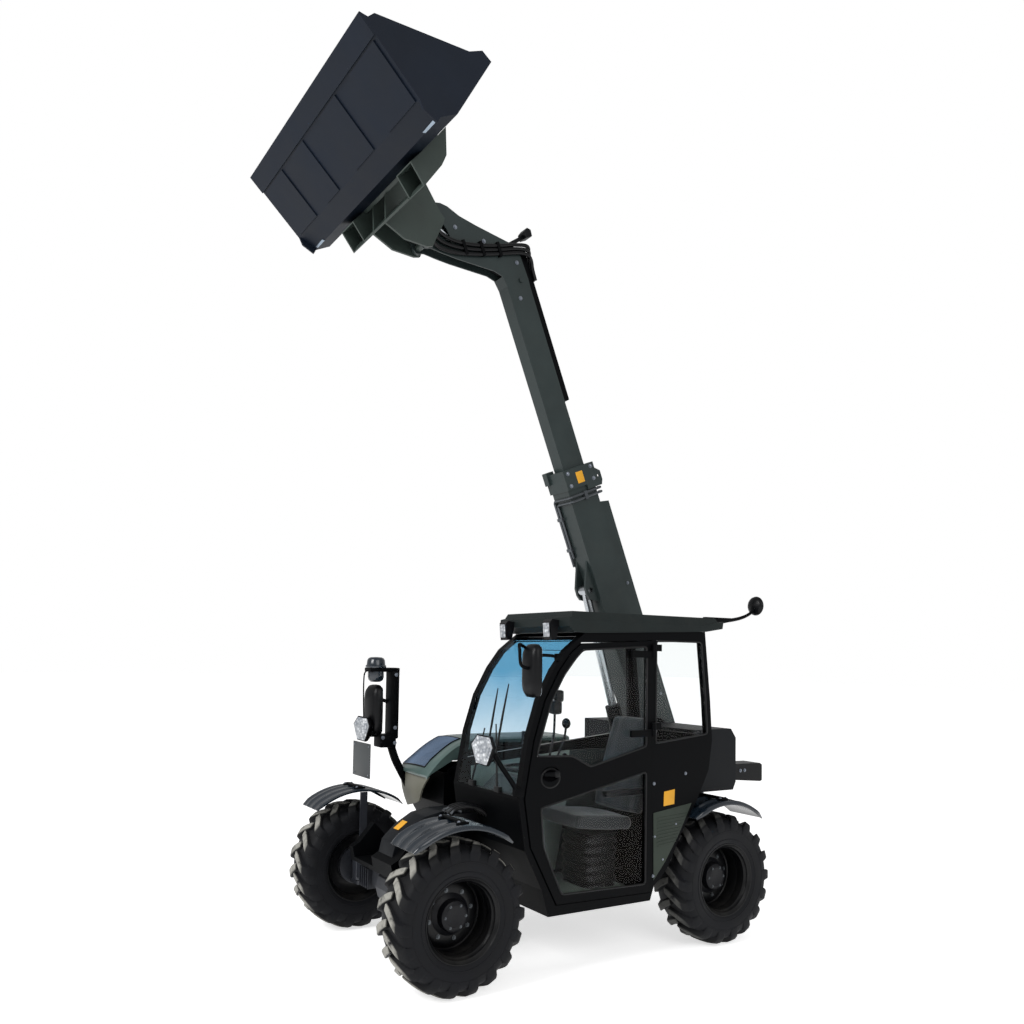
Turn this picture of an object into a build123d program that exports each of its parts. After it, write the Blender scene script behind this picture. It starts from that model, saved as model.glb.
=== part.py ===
# Compact telehandler: 1.56 m wide, 2.0 m high over the cab, with a two-stage boom
# raised and run out, and a bucket rolled back on its quick coupler.
# Millimetres. +X is forward, +Y is the machine's left and +Z is up. The origin is the
# middle of the machine's bounding box on the ground.

from build123d import *
from math import cos, radians, sin, sqrt
import os

os.makedirs("parts", exist_ok=True)

# ---------------------------------------------------------------- driving dimensions
FIT = 0.3  # gap between two seated faces
RUN = 6.0  # gap between two faces that move past each other

# Wheels
TYRE_R = 395.0
TYRE_W = 268.0
RIM_R = 221.0
BEAD = 14.0  # height of the rim's flange over the bead's seat
RIM_HALF = 124.0
BARREL_DROP = 16.0
BARREL_WALL = 8.0
WHEEL_Y = 646.0
FRONT_X = 865.0
REAR_X = -1025.0
SIDES = 36  # flats round a tyre or rim
LUGS = 18
LUG_H = 26.0
HUB_R = 82.0
CAP_R = 24.0
DISC_W = -22.0  # the disc's outer face, from the wheel's middle plane
KINGPIN_Y = 500.0
KINGPIN_R = 24.0
FENDER_R = 473.0
FENDER_T = 8.0
FENDER_IN = 500.0
FENDER_OUT = 788.0

# Chassis
BOX_Y = 285.0  # half the width of the end boxes over the axles
SPINE_LEFT = 29.7
SPINE_RIGHT = -224.0
RAIL_LOW = 335.0
RAIL_TOP = 610.0
BOX_LOW = TYRE_R + 125.0
PLATE = 12.0

# Boom: s runs along it from its pivot, t points to its back (upper) side
BOOM_Y = -100.0
PIVOT_X = -1153.0
PIVOT_Z = 1250.0
BOOM_ANGLE = 67.5
OUTER_W = 170.0
OUTER_TOP = 130.0
OUTER_LOW = -112.0
BOOM_WALL = 8.0
OUTER_TAIL = -115.0
OUTER_END = 1790.0
COLLAR_END = 1925.0
COLLAR_T = 16.0
COVER_W = 110.0
COVER_TOP = 230.0
COVER_END = 1650.0
INNER_W = 100.0
INNER_TOP = 116.0
INNER_LOW = -68.0
INNER_TAIL = 1440.0
STRIP_W = 60.0
STRIP_TOP = 172.0
STRIP_START = 2360.0
STRIP_END = 3290.0
TRAVEL = 1000.0  # how far the inner boom draws in
PIVOT_PIN_R = 30.0
LUG_S = 1100.0
LUG_T = -152.0
LUG_PIN_R = 20.0
NOSE_S = 3540.0
NOSE_T = -580.0
NOSE_PIN_R = 24.0
TILT_BASE_S = 3200.0
TILT_BASE_T = 55.0
TILT_LEVER = 170.0  # nose pin to the tilt rod's eye
TILT_LEVER_ANGLE = 48.0
TILT_PIN_R = 16.0
TILT_EYE_S = NOSE_S + TILT_LEVER * cos(radians(TILT_LEVER_ANGLE))
TILT_EYE_T = NOSE_T + TILT_LEVER * sin(radians(TILT_LEVER_ANGLE))

EAR_T = 16.0
EYE_S = 1822.0
EYE_UP = 168.0
EYE_R = 11.0

# Tow hitch
HITCH_X = -1385.0
HITCH_R = 16.0
HITCH_LOW = 560.0
HITCH_TOP = 660.0

# Lift cylinder's foot on the chassis
FOOT_X = -1100.0
FOOT_Z = 600.0

# Cab
CAB_LEFT = 720.0
CAB_RIGHT = 30.0
CAB_WALL = 30.0
PILLAR_X = -440.0
HINGE_Y = 741.0
HINGE_R = 14.0
HINGE_PIN_R = 8.0
HINGE_H = 40.0
HINGE_LEVELS = (1795.0, 1330.0)
WINDSCREEN = [(508, 975), (475, 1163), (451, 1296), (382, 1512), (289, 1677), (201, 1789), (124, 1847)]
CAB_REAR = [
    (-879, 1923), (-926, 1501), (-945, 1253), (-916, 1070), (-823, 901), (-683, 690), (-573, 500),
    (-470, 410), (-440, 330),
]
CAB_SIDE = [(300, 330), (345, 480), (462, 700), *WINDSCREEN, (68, 1888), *CAB_REAR]
DOORWAY = [
    (PILLAR_X, 375), (250, 385), (430, 715), (474, 978), (440, 1163), (415, 1296), (345, 1512),
    (250, 1677), (165, 1780), (90, 1835), (PILLAR_X, 1860),
]
QUARTER_WINDOW = [(-475, 1245), (-905, 1290), (-890, 1501), (-850, 1860), (-475, 1860)]
RIGHT_WINDOW = [
    (-860, 1260), (430, 1130), (410, 1296), (340, 1512), (248, 1677), (165, 1780), (90, 1835),
    (-840, 1860),
]
DOOR_PANES = (
    [(-400, 1232), (20, 1130), (149, 1195), (395, 1205), (370, 1296), (305, 1500), (215, 1652),
     (135, 1745), (80, 1795), (-400, 1822)],
    [(-400, 430), (215, 440), (345, 715), (364, 925), (-400, 1085)],
)


def side(y):
    """Vertical plane along the machine at y: local x is X and local y is Z."""
    return Plane.XZ.offset(-y)


ALONG = Vector(cos(radians(BOOM_ANGLE)), 0, sin(radians(BOOM_ANGLE)))
BACK = Vector(-sin(radians(BOOM_ANGLE)), 0, cos(radians(BOOM_ANGLE)))


def boom(y):
    """Plane along the boom at y: local x is s and local y is t."""
    return Plane(origin=(PIVOT_X, y, PIVOT_Z), x_dir=ALONG, z_dir=(0, -1, 0))


def boom_point(s, t, y=BOOM_Y):
    """World position of a point that is given along and across the boom."""
    return Vector(PIVOT_X, y, PIVOT_Z) + ALONG * s + BACK * t


def save(piece, name):
    """Label a finished piece and write it as its own STEP file."""
    piece.part.label = name
    export_step(piece.part, f"parts/{name}.step")


# ---------------------------------------------------------------- wheels
# A wheel's own frame: the axis is local Y, which points outwards, and local X is forward.
WHEELS = [  # name, x, side of the machine
    ("front_left", FRONT_X, 1),
    ("front_right", FRONT_X, -1),
    ("rear_left", REAR_X, 1),
    ("rear_right", REAR_X, -1),
]
SEAT_R = RIM_R - BEAD
CARCASS_R = TYRE_R - LUG_H
LUG_TOP = sqrt(TYRE_R**2 - 60**2)  # so that the lug's corners reach the tyre's radius
LUG = [(-14, -14), (24, -14), (62, 122), (22, 122)]  # round the tyre, across it


def ring(profile):
    """Solid with flats round it whose sections are given as (place along the axle, radius)."""
    with BuildPart() as made:
        for place, radius in profile:
            with BuildSketch(Plane.XZ.offset(-place)):
                RegularPolygon(radius, SIDES, rotation=180 / SIDES)
        loft(ruled=True)
    return made.part


with BuildPart() as tyre_left:
    half = TYRE_W / 2
    add(ring([(FIT - RIM_HALF + 21, SEAT_R), (-half, 300), (34 - half, CARCASS_R), (half - 34, CARCASS_R),
              (half, 300), (RIM_HALF - 21 - FIT, SEAT_R)]))
    add(ring([(-half, SEAT_R), (half, SEAT_R)]), mode=Mode.SUBTRACT)
    with BuildPart(mode=Mode.PRIVATE) as lugs:
        for turn, hand in ((0, 1), (180 / LUGS, -1)):
            for i in range(LUGS):
                base = Plane.XY.rotated((0, turn + i * 360 / LUGS, 0)).offset(CARCASS_R - 24)
                with BuildSketch(base):
                    Polygon(*[(x, hand * y) for x, y in LUG], align=None)
                extrude(amount=LUG_TOP - CARCASS_R + 24)
    add(lugs.part)
tyre_right = mirror(tyre_left.part, about=Plane.XZ)

BARREL_R = SEAT_R - BARREL_DROP
with BuildPart() as rim_left:
    seat = SEAT_R - FIT
    add(ring([(-RIM_HALF, RIM_R), (9 - RIM_HALF, RIM_R), (21 - RIM_HALF, seat), (RIM_HALF - 21, seat),
              (RIM_HALF - 9, RIM_R), (RIM_HALF, RIM_R)]))
    front = [(DISC_W - 32, BARREL_R), (76, BARREL_R), (94, seat - BARREL_WALL), (RIM_HALF, seat)]
    add(ring(front), mode=Mode.SUBTRACT)
    back = [(-RIM_HALF, seat), (-90, BARREL_R), (DISC_W - 46, BARREL_R)]
    add(ring(back), mode=Mode.SUBTRACT)
    add(ring([(DISC_W - 33, BARREL_R), (DISC_W, HUB_R + 68)]))
    add(ring([(DISC_W - 46, BARREL_R), (DISC_W - 16, HUB_R + 64)]), mode=Mode.SUBTRACT)
    add(ring([(DISC_W - 1, HUB_R), (28, HUB_R), (38, HUB_R - 14)]))
    with BuildSketch(Plane.XZ.offset(-37)):
        Circle(CAP_R)
    extrude(amount=-8)
    with BuildSketch(Plane.XZ.offset(1 - DISC_W)):
        with PolarLocations(HUB_R + 30, 8):
            RegularPolygon(11, 6)
    extrude(amount=-9)
rim_right = mirror(rim_left.part, about=Plane.XZ)

for name, x, hand in WHEELS:
    with BuildPart() as tyre:
        with Locations((x, hand * WHEEL_Y, TYRE_R)):
            add(tyre_left.part if hand > 0 else tyre_right)
    save(tyre, f"tyre_{name}")
    with BuildPart() as rim:
        with Locations((x, hand * WHEEL_Y, TYRE_R)):
            add(rim_left.part if hand > 0 else rim_right)
    save(rim, f"rim_{name}")

# Knuckle: a drum inside the rim, two arms over and under the axle's end, the kingpin, and in
# front the post that carries the fender.
DRUM_R = 118.0
DRUM_IN = KINGPIN_Y + 68
DRUM_OUT = WHEEL_Y + DISC_W - 16 - FIT
ARM_LOW = 76.0
ARM_T = 24.0
POST_Y = 486.0

for name, x, hand in WHEELS:
    with BuildPart() as knuckle:
        with BuildSketch(side(hand * DRUM_IN)):
            with Locations((x, TYRE_R)):
                RegularPolygon(DRUM_R, 24)
        extrude(amount=-hand * (DRUM_OUT - DRUM_IN))
        for level in (ARM_LOW, -ARM_LOW - ARM_T):
            with BuildSketch(Plane.XY.offset(TYRE_R + level)):
                with Locations((x, hand * (KINGPIN_Y + 30))):
                    Rectangle(84, 92)
                with Locations((x, hand * (KINGPIN_Y - 8))):
                    RegularPolygon(42, 12)
            extrude(amount=ARM_T)
        with BuildSketch(Plane.XY.offset(TYRE_R - ARM_LOW - ARM_T)):
            with Locations((x, hand * KINGPIN_Y)):
                Circle(KINGPIN_R)
        extrude(amount=2 * (ARM_LOW + ARM_T))
        if x > 0:
            with BuildSketch(Plane.XY.offset(TYRE_R + ARM_LOW + ARM_T)):
                with Locations((x, hand * POST_Y)):
                    Rectangle(46, 14)
            extrude(amount=FENDER_R - ARM_LOW - ARM_T - FIT)
    save(knuckle, f"knuckle_{name}")

# Fenders: flats in an arc over the tyre, with ribs along them. The front ones stand on the
# knuckles' posts, and the rear ones stay still, on posts of their own from the axle.
FLATS = {1: (39, 27, 9, -9, -26, -38), -1: (34, 22, 9, -9, -27, -41)}  # degrees forward of upright
RIBS = (514, 606, 698, 764)
RIB_W = 18.0
RIB_H = 9.0
CLAMP_H = {1: 34.0, -1: 14.0}
AXLE_POST_Y = 429.0


def arc_band(x, flats, low, high):
    """Outline of a band of flats about the wheel's centre, from radius low to radius high."""
    turns = [radians(90 - flat) for flat in flats]
    outer = [(x + high * cos(turn), TYRE_R + high * sin(turn)) for turn in turns]
    inner = [(x + low * cos(turn), TYRE_R + low * sin(turn)) for turn in reversed(turns)]
    return outer + inner


for name, x, hand in WHEELS:
    end = 1 if x > 0 else -1
    top = TYRE_R + FENDER_R + FENDER_T
    with BuildPart() as fender:
        with BuildSketch(side(FENDER_OUT if hand > 0 else -FENDER_IN)):
            Polygon(*arc_band(x, FLATS[end], FENDER_R, FENDER_R + FENDER_T), align=None)
        extrude(amount=FENDER_OUT - FENDER_IN)
        for rib in RIBS:
            with BuildSketch(side(hand * rib + RIB_W / 2)):
                Polygon(*arc_band(x, FLATS[end][1:-1], FENDER_R, FENDER_R + FENDER_T + RIB_H), align=None)
            extrude(amount=RIB_W)
        # clamp that holds the fender down on its post
        with BuildSketch(Plane.XY.offset(top - FENDER_T)):
            with Locations((x, hand * (FENDER_IN + 22))):
                Rectangle(104, 72 if end > 0 else 44)
        extrude(amount=FENDER_T + CLAMP_H[end])
        if end < 0:
            with BuildSketch(Plane.XY.offset(top - FENDER_T)):
                with Locations((x, hand * (AXLE_POST_Y + FENDER_IN + 30) / 2)):
                    Rectangle(46, FENDER_IN + 30 - AXLE_POST_Y + 18)
            extrude(amount=FENDER_T + CLAMP_H[end])
            with BuildSketch(Plane.XY.offset(TYRE_R + 50 + FIT)):
                with Locations((x, hand * AXLE_POST_Y)):
                    Rectangle(46, 18)
            extrude(amount=FENDER_R - 50)
    save(fender, f"fender_{name}")

# ---------------------------------------------------------------- axles
# Each axle is a finned casting: a beam, a gear housing off to one side, and forks for the kingpins.
for name, x in (("front_axle", FRONT_X), ("rear_axle", REAR_X)):
    with BuildPart() as axle:
        with BuildSketch(side(KINGPIN_Y - 40)):
            with Locations((x, TYRE_R)):
                Rectangle(96, 100)
        extrude(amount=2 * (KINGPIN_Y - 40))
        with BuildSketch(side(150)):
            with Locations((x, TYRE_R)):
                RegularPolygon(116, 12)
        extrude(amount=190)
        for hand in (1, -1):
            for fin in range(5):
                with BuildSketch(side(hand * (240 + 30 * fin) + 5)):
                    with Locations((x, TYRE_R - 10)):
                        Rectangle(150, 120)
                extrude(amount=10)
        with BuildSketch(Plane.XY.offset(TYRE_R)):
            with Locations((x, 0)):
                Rectangle(110, 170)
        extrude(amount=BOX_LOW - FIT - TYRE_R)
        for hand in (1, -1):
            with BuildSketch(Plane.XY.offset(TYRE_R - ARM_LOW + RUN)):
                with Locations((x, hand * KINGPIN_Y)):
                    RegularPolygon(56, 12)
            extrude(amount=2 * (ARM_LOW - RUN))
            with BuildSketch(Plane.XY.offset(TYRE_R - ARM_LOW)):
                with Locations((x, hand * KINGPIN_Y)):
                    Circle(KINGPIN_R + FIT)
            extrude(amount=2 * ARM_LOW, mode=Mode.SUBTRACT)
    save(axle, name)

# ---------------------------------------------------------------- chassis
TOWER_IN = OUTER_W / 2 + RUN
TOWER_T = 22.0
with BuildPart() as chassis:
    # spine under the boom
    with BuildSketch(side(SPINE_LEFT)):
        Polygon(
            (-900, RAIL_TOP), (560, RAIL_TOP), (560, BOX_LOW), (520, RAIL_LOW), (-760, RAIL_LOW),
            (-860, BOX_LOW), (-900, BOX_LOW), align=None,
        )
    extrude(amount=SPINE_LEFT - SPINE_RIGHT)
    with BuildSketch(Plane.XY.offset(RAIL_LOW + PLATE)):
        with Locations((-150, (SPINE_LEFT + SPINE_RIGHT) / 2)):
            Rectangle(1180, SPINE_LEFT - SPINE_RIGHT - 2 * PLATE)
    extrude(amount=800, mode=Mode.SUBTRACT)
    # front box with the sloping nose
    with BuildSketch(side(BOX_Y)):
        Polygon(
            (530, BOX_LOW), (530, RAIL_TOP), (800, RAIL_TOP), (905, 722), (1002, 614), (1046, 590),
            (1030, BOX_LOW - 15), (965, BOX_LOW - 15), (930, BOX_LOW), align=None,
        )
    extrude(amount=2 * BOX_Y)
    with BuildSketch(Plane.XY.offset(BOX_LOW + PLATE)):
        with Locations((900, BOOM_Y)):
            Rectangle(400, 260)
    extrude(amount=300, mode=Mode.SUBTRACT)
    # rear box
    with BuildSketch(side(BOX_Y)):
        Polygon(
            (-1330, 460), (-1330, 900), (-1020, 900), (-900, RAIL_TOP), (-860, RAIL_TOP),
            (-860, BOX_LOW), (-1160, BOX_LOW), (-1240, 460), align=None,
        )
    extrude(amount=2 * BOX_Y)
    with BuildSketch(Plane.XY.offset(BOX_LOW + PLATE)):
        with Locations((-1080, BOOM_Y)):
            Rectangle(460, 2 * TOWER_IN)
    extrude(amount=800, mode=Mode.SUBTRACT)
    for y in (BOOM_Y + TOWER_IN + TOWER_T, BOOM_Y - TOWER_IN):
        with BuildSketch(side(y)):
            Polygon(
                (-1320, 880), (-1240, PIVOT_Z + 50), (-1190, PIVOT_Z + 85), (-1115, PIVOT_Z + 85),
                (-1070, PIVOT_Z + 40), (-990, FOOT_Z - 40), (-1220, FOOT_Z - 60), align=None,
            )
            with Locations((PIVOT_X, PIVOT_Z)):
                Circle(PIVOT_PIN_R + FIT, mode=Mode.SUBTRACT)
        extrude(amount=TOWER_T)
    with BuildSketch(side(BOOM_Y + TOWER_IN)):
        with Locations((FOOT_X, FOOT_Z)):
            Circle(22)
    extrude(amount=2 * TOWER_IN)
    # tow hitch: two plates with a pin hole
    for level in (HITCH_LOW, HITCH_TOP - 15):
        with BuildSketch(Plane.XY.offset(level)):
            with Locations((-1358, 0)):
                Rectangle(60, 90)
            with Locations((HITCH_X, 0)):
                Circle(45)
                Circle(HITCH_R, mode=Mode.SUBTRACT)
        extrude(amount=15)
save(chassis, "chassis_frame")

with BuildPart() as engine:
    with BuildSketch(Plane.XY.offset(434 + FIT)):
        with Locations((-160, -480)):
            Rectangle(560, 330)
    extrude(amount=500)
save(engine, "engine_block")

HOOD_IN = SPINE_RIGHT - FIT
HOOD_OUT = -735.0
HOOD_BASE = 1006.0
BAY_WALL = 14.0
HOOD_SKIN = 12.0
HOOD_PIN_Y = HOOD_IN - BAY_WALL / 2
HOOD_PIN_Z = 1183.0
HOOD_PIN_R = 5.0
HOOD_HINGES = (-420.0, -40.0)
HOOD_TOP = [(510, 990), (340, 1110), (180, 1195), (-20, 1205)]
with BuildPart() as side_body:
    with BuildSketch(side(HOOD_IN)):
        Polygon((-530, 420), (300, 420), (330, 640), (430, 800), (430, HOOD_BASE - RUN),
                (-560, HOOD_BASE - RUN), (-560, 600), align=None)
    extrude(amount=HOOD_IN - HOOD_OUT)
    with BuildSketch(side(HOOD_IN - BAY_WALL)):
        Polygon((-516, 434), (288, 434), (316, 646), (416, 806), (416, 1100), (-546, 1100), (-546, 604),
                align=None)
    extrude(amount=HOOD_IN - HOOD_OUT - 2 * BAY_WALL, mode=Mode.SUBTRACT)
    # inner wall that carries the hood's hinge
    with BuildSketch(side(HOOD_IN)):
        Polygon((-545, 990), (-545, 1156), (-20, 1156), (160, 1144), (310, 1075), (400, 1014), (400, 990),
                align=None)
        for x in HOOD_HINGES:
            with Locations((x, HOOD_PIN_Z - 16)):
                Rectangle(30, 42)
    extrude(amount=BAY_WALL)
    for x in HOOD_HINGES:
        with BuildSketch(Plane.YZ.offset(x - 45)):
            with Locations((HOOD_PIN_Y, HOOD_PIN_Z)):
                Circle(HOOD_PIN_R)
        extrude(amount=90)
    # louvres in the outer wall
    for k in range(7):
        with BuildSketch(side(HOOD_OUT + 5)):
            with Locations(Location((-330 + 50 * k, 640, 0), (0, 0, -12))):
                Rectangle(22, 240)
        extrude(amount=8, mode=Mode.SUBTRACT)
save(side_body, "engine_bay")

with BuildPart() as hood:
    with BuildSketch(side(HOOD_IN)):
        Polygon((-560, HOOD_BASE), (430, HOOD_BASE), *HOOD_TOP, (-560, 1205), align=None)
    extrude(amount=HOOD_IN - HOOD_OUT)
    with BuildSketch(side(HOOD_IN)):
        Polygon((-548, 1000), (400, 1000), (410, 1040), (330, 1098), (175, 1183), (-20, 1193),
                (-548, 1193), align=None)
    extrude(amount=HOOD_IN - HOOD_OUT - HOOD_SKIN, mode=Mode.SUBTRACT)
    with BuildSketch(side(HOOD_IN)):
        Polygon((-560, 1000), (440, 1000), (440, 1026), (318, 1100), (170, 1176), (-560, 1176), align=None)
    extrude(amount=BAY_WALL + RUN, mode=Mode.SUBTRACT)
    for x in HOOD_HINGES:
        for edge in (x - 40, x + 24):
            with BuildSketch(Plane.YZ.offset(edge)):
                with Locations((HOOD_PIN_Y, HOOD_PIN_Z + 4)):
                    Rectangle(22, 20)
                with Locations((HOOD_PIN_Y, HOOD_PIN_Z)):
                    Circle(HOOD_PIN_R + FIT, mode=Mode.SUBTRACT)
            extrude(amount=16)
    # grille through the front slope
    slope = Plane(origin=(260, HOOD_IN, 1152.5), x_dir=(160, 0, -85), z_dir=(85, 0, 160))
    for k in range(9):
        with BuildSketch(slope.offset(10)):
            with Locations((-72 + 18 * k, (HOOD_OUT - HOOD_IN) / 2)):
                Rectangle(9, 380)
        extrude(amount=-40, mode=Mode.SUBTRACT)
save(hood, "engine_hood")

COWL_BASE = 900.0 + FIT
COWL_Y = 550.0
with BuildPart() as cowl:
    for y, wide in ((COWL_Y, COWL_Y - BOOM_Y - TOWER_IN - TOWER_T - RUN),
                    (BOOM_Y - TOWER_IN - TOWER_T - RUN, COWL_Y + BOOM_Y - TOWER_IN - TOWER_T - RUN)):
        with BuildSketch(side(y)):
            Polygon((-1345, 950), (-1320, COWL_BASE), (-960, COWL_BASE), (-960, 1300), (-1300, 1300),
                    (-1345, 1240), align=None)
        extrude(amount=wide)
save(cowl, "rear_cowl")

# ---------------------------------------------------------------- cab
ARCH = [(-462, 330), (-520, 480), (-700, 880), (-880, 980)]
LOUVRES = 6
with BuildPart() as cab:
    with BuildSketch(side(CAB_LEFT)):
        Polygon(*CAB_SIDE, align=None)
    extrude(amount=CAB_LEFT - CAB_RIGHT)
    with BuildSketch(side(CAB_LEFT - CAB_WALL)):
        Polygon(*CAB_SIDE, align=None)
        offset(amount=-CAB_WALL, kind=Kind.INTERSECTION, mode=Mode.REPLACE)
    extrude(amount=CAB_LEFT - CAB_RIGHT - 2 * CAB_WALL, mode=Mode.SUBTRACT)
    for window in (DOORWAY, QUARTER_WINDOW):
        with BuildSketch(side(CAB_LEFT)):
            Polygon(*window, align=None)
        extrude(amount=CAB_WALL, mode=Mode.SUBTRACT)
    with BuildSketch(side(CAB_RIGHT + CAB_WALL)):
        Polygon(*RIGHT_WINDOW, align=None)
    extrude(amount=CAB_WALL, mode=Mode.SUBTRACT)
    # windscreen and rear window
    with BuildSketch(Plane.YZ):
        with Locations(((CAB_LEFT + CAB_RIGHT) / 2, 1430)):
            Rectangle(CAB_LEFT - CAB_RIGHT - 90, 880)
    extrude(amount=600, mode=Mode.SUBTRACT)
    with BuildSketch(Plane.YZ.offset(-1000)):
        with Locations(((CAB_LEFT + CAB_RIGHT) / 2, 1570)):
            Rectangle(CAB_LEFT - CAB_RIGHT - 100, 580)
    extrude(amount=300, mode=Mode.SUBTRACT)
    # arch that clears the steered rear wheel
    with BuildSketch(side(CAB_LEFT - CAB_WALL)):
        Polygon((-458, 300), *ARCH[:3], (-1000, 880), (-1000, 300), align=None)
    extrude(amount=CAB_LEFT - CAB_RIGHT - CAB_WALL, mode=Mode.SUBTRACT)
    with BuildSketch(side(CAB_LEFT - CAB_WALL)):
        Polygon(*ARCH, (-880, 1000), (-690, 900), (-500, 484), (-444, 330), align=None)
    extrude(amount=CAB_LEFT - CAB_RIGHT - 2 * CAB_WALL)
    # louvres in the panel behind the door
    for k in range(LOUVRES):
        with BuildSketch(side(CAB_LEFT + 1)):
            with Locations(Location((-540 - 12 * k, 610 + 26 * k, 0), (0, 0, 4))):
                Rectangle(96 + 8 * k, 10)
        extrude(amount=9, mode=Mode.SUBTRACT)
    # door hinges: a knuckle with a pin that reaches down through the door's strap
    for z in HINGE_LEVELS:
        with BuildSketch(Plane.XY.offset(z)):
            with Locations((PILLAR_X, HINGE_Y)):
                Circle(HINGE_R)
            with Locations((PILLAR_X - 28, CAB_LEFT + 12)):
                Rectangle(56, 26)
        extrude(amount=HINGE_H)
        with BuildSketch(Plane.XY.offset(z - HINGE_H)):
            with Locations((PILLAR_X, HINGE_Y)):
                Circle(HINGE_PIN_R)
        extrude(amount=HINGE_H)
save(cab, "cab_frame")

ROOF_OUT = 12.0
with BuildPart() as roof:
    with BuildSketch(side(CAB_LEFT + ROOF_OUT)):
        Polygon((68, 1888 + FIT), (150, 1892), (190, 1925), (186, 1975), (160, 1982), (100, 1962),
                (-870, 1962), (-1028, 1990), (-1020, 1945), (-879, 1923 + FIT), align=None)
    extrude(amount=CAB_LEFT - CAB_RIGHT + ROOF_OUT + 2)
    # raised shell, drawn in towards its top
    with BuildSketch(Plane.XY.offset(1955)):
        with Locations((-415, (CAB_LEFT + CAB_RIGHT) / 2 + ROOF_OUT / 2)):
            Rectangle(1180, CAB_LEFT - CAB_RIGHT + ROOF_OUT)
    extrude(amount=56, taper=24)
save(roof, "cab_roof")

with BuildPart() as glass:
    for pane, y in ((QUARTER_WINDOW, CAB_LEFT - 12), (RIGHT_WINDOW, CAB_RIGHT + 18)):
        with BuildSketch(side(y)):
            Polygon(*pane, align=None)
            offset(amount=-FIT, mode=Mode.REPLACE)
        extrude(amount=5)
    with BuildSketch(side(CAB_LEFT - 50 - FIT)):
        Polygon((-887, 1860 - FIT), (-926, 1501), (-943, 1280 + FIT), (-937, 1280 + FIT), (-920, 1501),
                (-881, 1860 - FIT), align=None)
    extrude(amount=CAB_LEFT - CAB_RIGHT - 100 - 2 * FIT)
save(glass, "cab_glass")

with BuildPart() as windscreen:
    with BuildSketch(side(CAB_LEFT - 45 - FIT)):
        Polygon((508, 992), *WINDSCREEN[1:], (121, 1842), (196, 1784), (284, 1673), (377, 1510),
                (446, 1295), (470, 1162), (502, 992), align=None)
    extrude(amount=CAB_LEFT - CAB_RIGHT - 90 - 2 * FIT)
save(windscreen, "windscreen")

SEAT_Y = 360.0
with BuildPart() as seat:
    with BuildSketch(side(SEAT_Y + 150)):
        Polygon((-140, 360 + FIT), (-140, 700), (-400, 700), (-400, 360 + FIT), align=None)
    extrude(amount=300)
    with BuildSketch(side(SEAT_Y + 200)):
        Polygon((-120, 700), (0, 740), (0, 830), (-430, 800), (-560, 1330), (-650, 1310), (-560, 760),
                (-440, 700), align=None)
    extrude(amount=400)
    for y in (SEAT_Y + 250, SEAT_Y - 200):
        with BuildSketch(side(y)):
            Polygon((-530, 960), (-200, 985), (-190, 950), (-530, 900), align=None)
        extrude(amount=50)
save(seat, "seat")

with BuildPart() as dash:
    with BuildSketch(side(520)):
        Polygon((180, 360 + FIT), (290, 470), (385, 700), (435, 960), (330, 1050), (250, 1050),
                (180, 700), (120, 360 + FIT), align=None)
    extrude(amount=300)
save(dash, "dashboard")

with BuildPart() as wheel_steer:
    with BuildSketch(Plane.XY.offset(1080)):
        with Locations((190, SEAT_Y + 10)):
            Circle(170)
            Circle(150, mode=Mode.SUBTRACT)
            Rectangle(310, 22)
    extrude(amount=20)
    with BuildSketch(Plane.XY.offset(1050 + FIT)):
        with Locations((290, SEAT_Y + 10)):
            Circle(24)
    extrude(amount=30)
    with BuildSketch(Plane.XY.offset(1099)):
        with Locations((80, SEAT_Y + 130)):
            Circle(16)
    extrude(amount=55)
save(wheel_steer, "steering_wheel")

# ---------------------------------------------------------------- door
with BuildPart() as door:
    with BuildSketch(side(CAB_LEFT + 6)):
        Polygon(*DOORWAY, align=None)
        offset(amount=-RUN, kind=Kind.INTERSECTION, mode=Mode.REPLACE)
    extrude(amount=CAB_WALL)
    with BuildSketch(side(CAB_LEFT + 6)):
        for pane in DOOR_PANES:
            Polygon(*pane, align=None)
    extrude(amount=CAB_WALL, mode=Mode.SUBTRACT)
    for z in HINGE_LEVELS:
        with BuildSketch(Plane.XY.offset(z - HINGE_H)):
            with Locations((PILLAR_X + 85, CAB_LEFT + 13)):
                Rectangle(170, 18)
            with Locations((PILLAR_X, HINGE_Y)):
                Circle(HINGE_R)
                Circle(HINGE_PIN_R + FIT, mode=Mode.SUBTRACT)
        extrude(amount=HINGE_H - FIT)
    # handle in a round hollow
    with BuildSketch(side(CAB_LEFT + 7)):
        with Locations((300, 1105)):
            Ellipse(62, 42)
    extrude(amount=14, mode=Mode.SUBTRACT)
    with BuildSketch(side(CAB_LEFT + 8)):
        with Locations((300, 1105)):
            Rectangle(80, 22)
    extrude(amount=16)
save(door, "door_frame")

with BuildPart() as door_glass:
    with BuildSketch(side(CAB_LEFT - 6)):
        for pane in DOOR_PANES:
            Polygon(*pane, align=None)
        offset(amount=-FIT, mode=Mode.REPLACE)
    extrude(amount=5)
save(door_glass, "door_glass")

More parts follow.
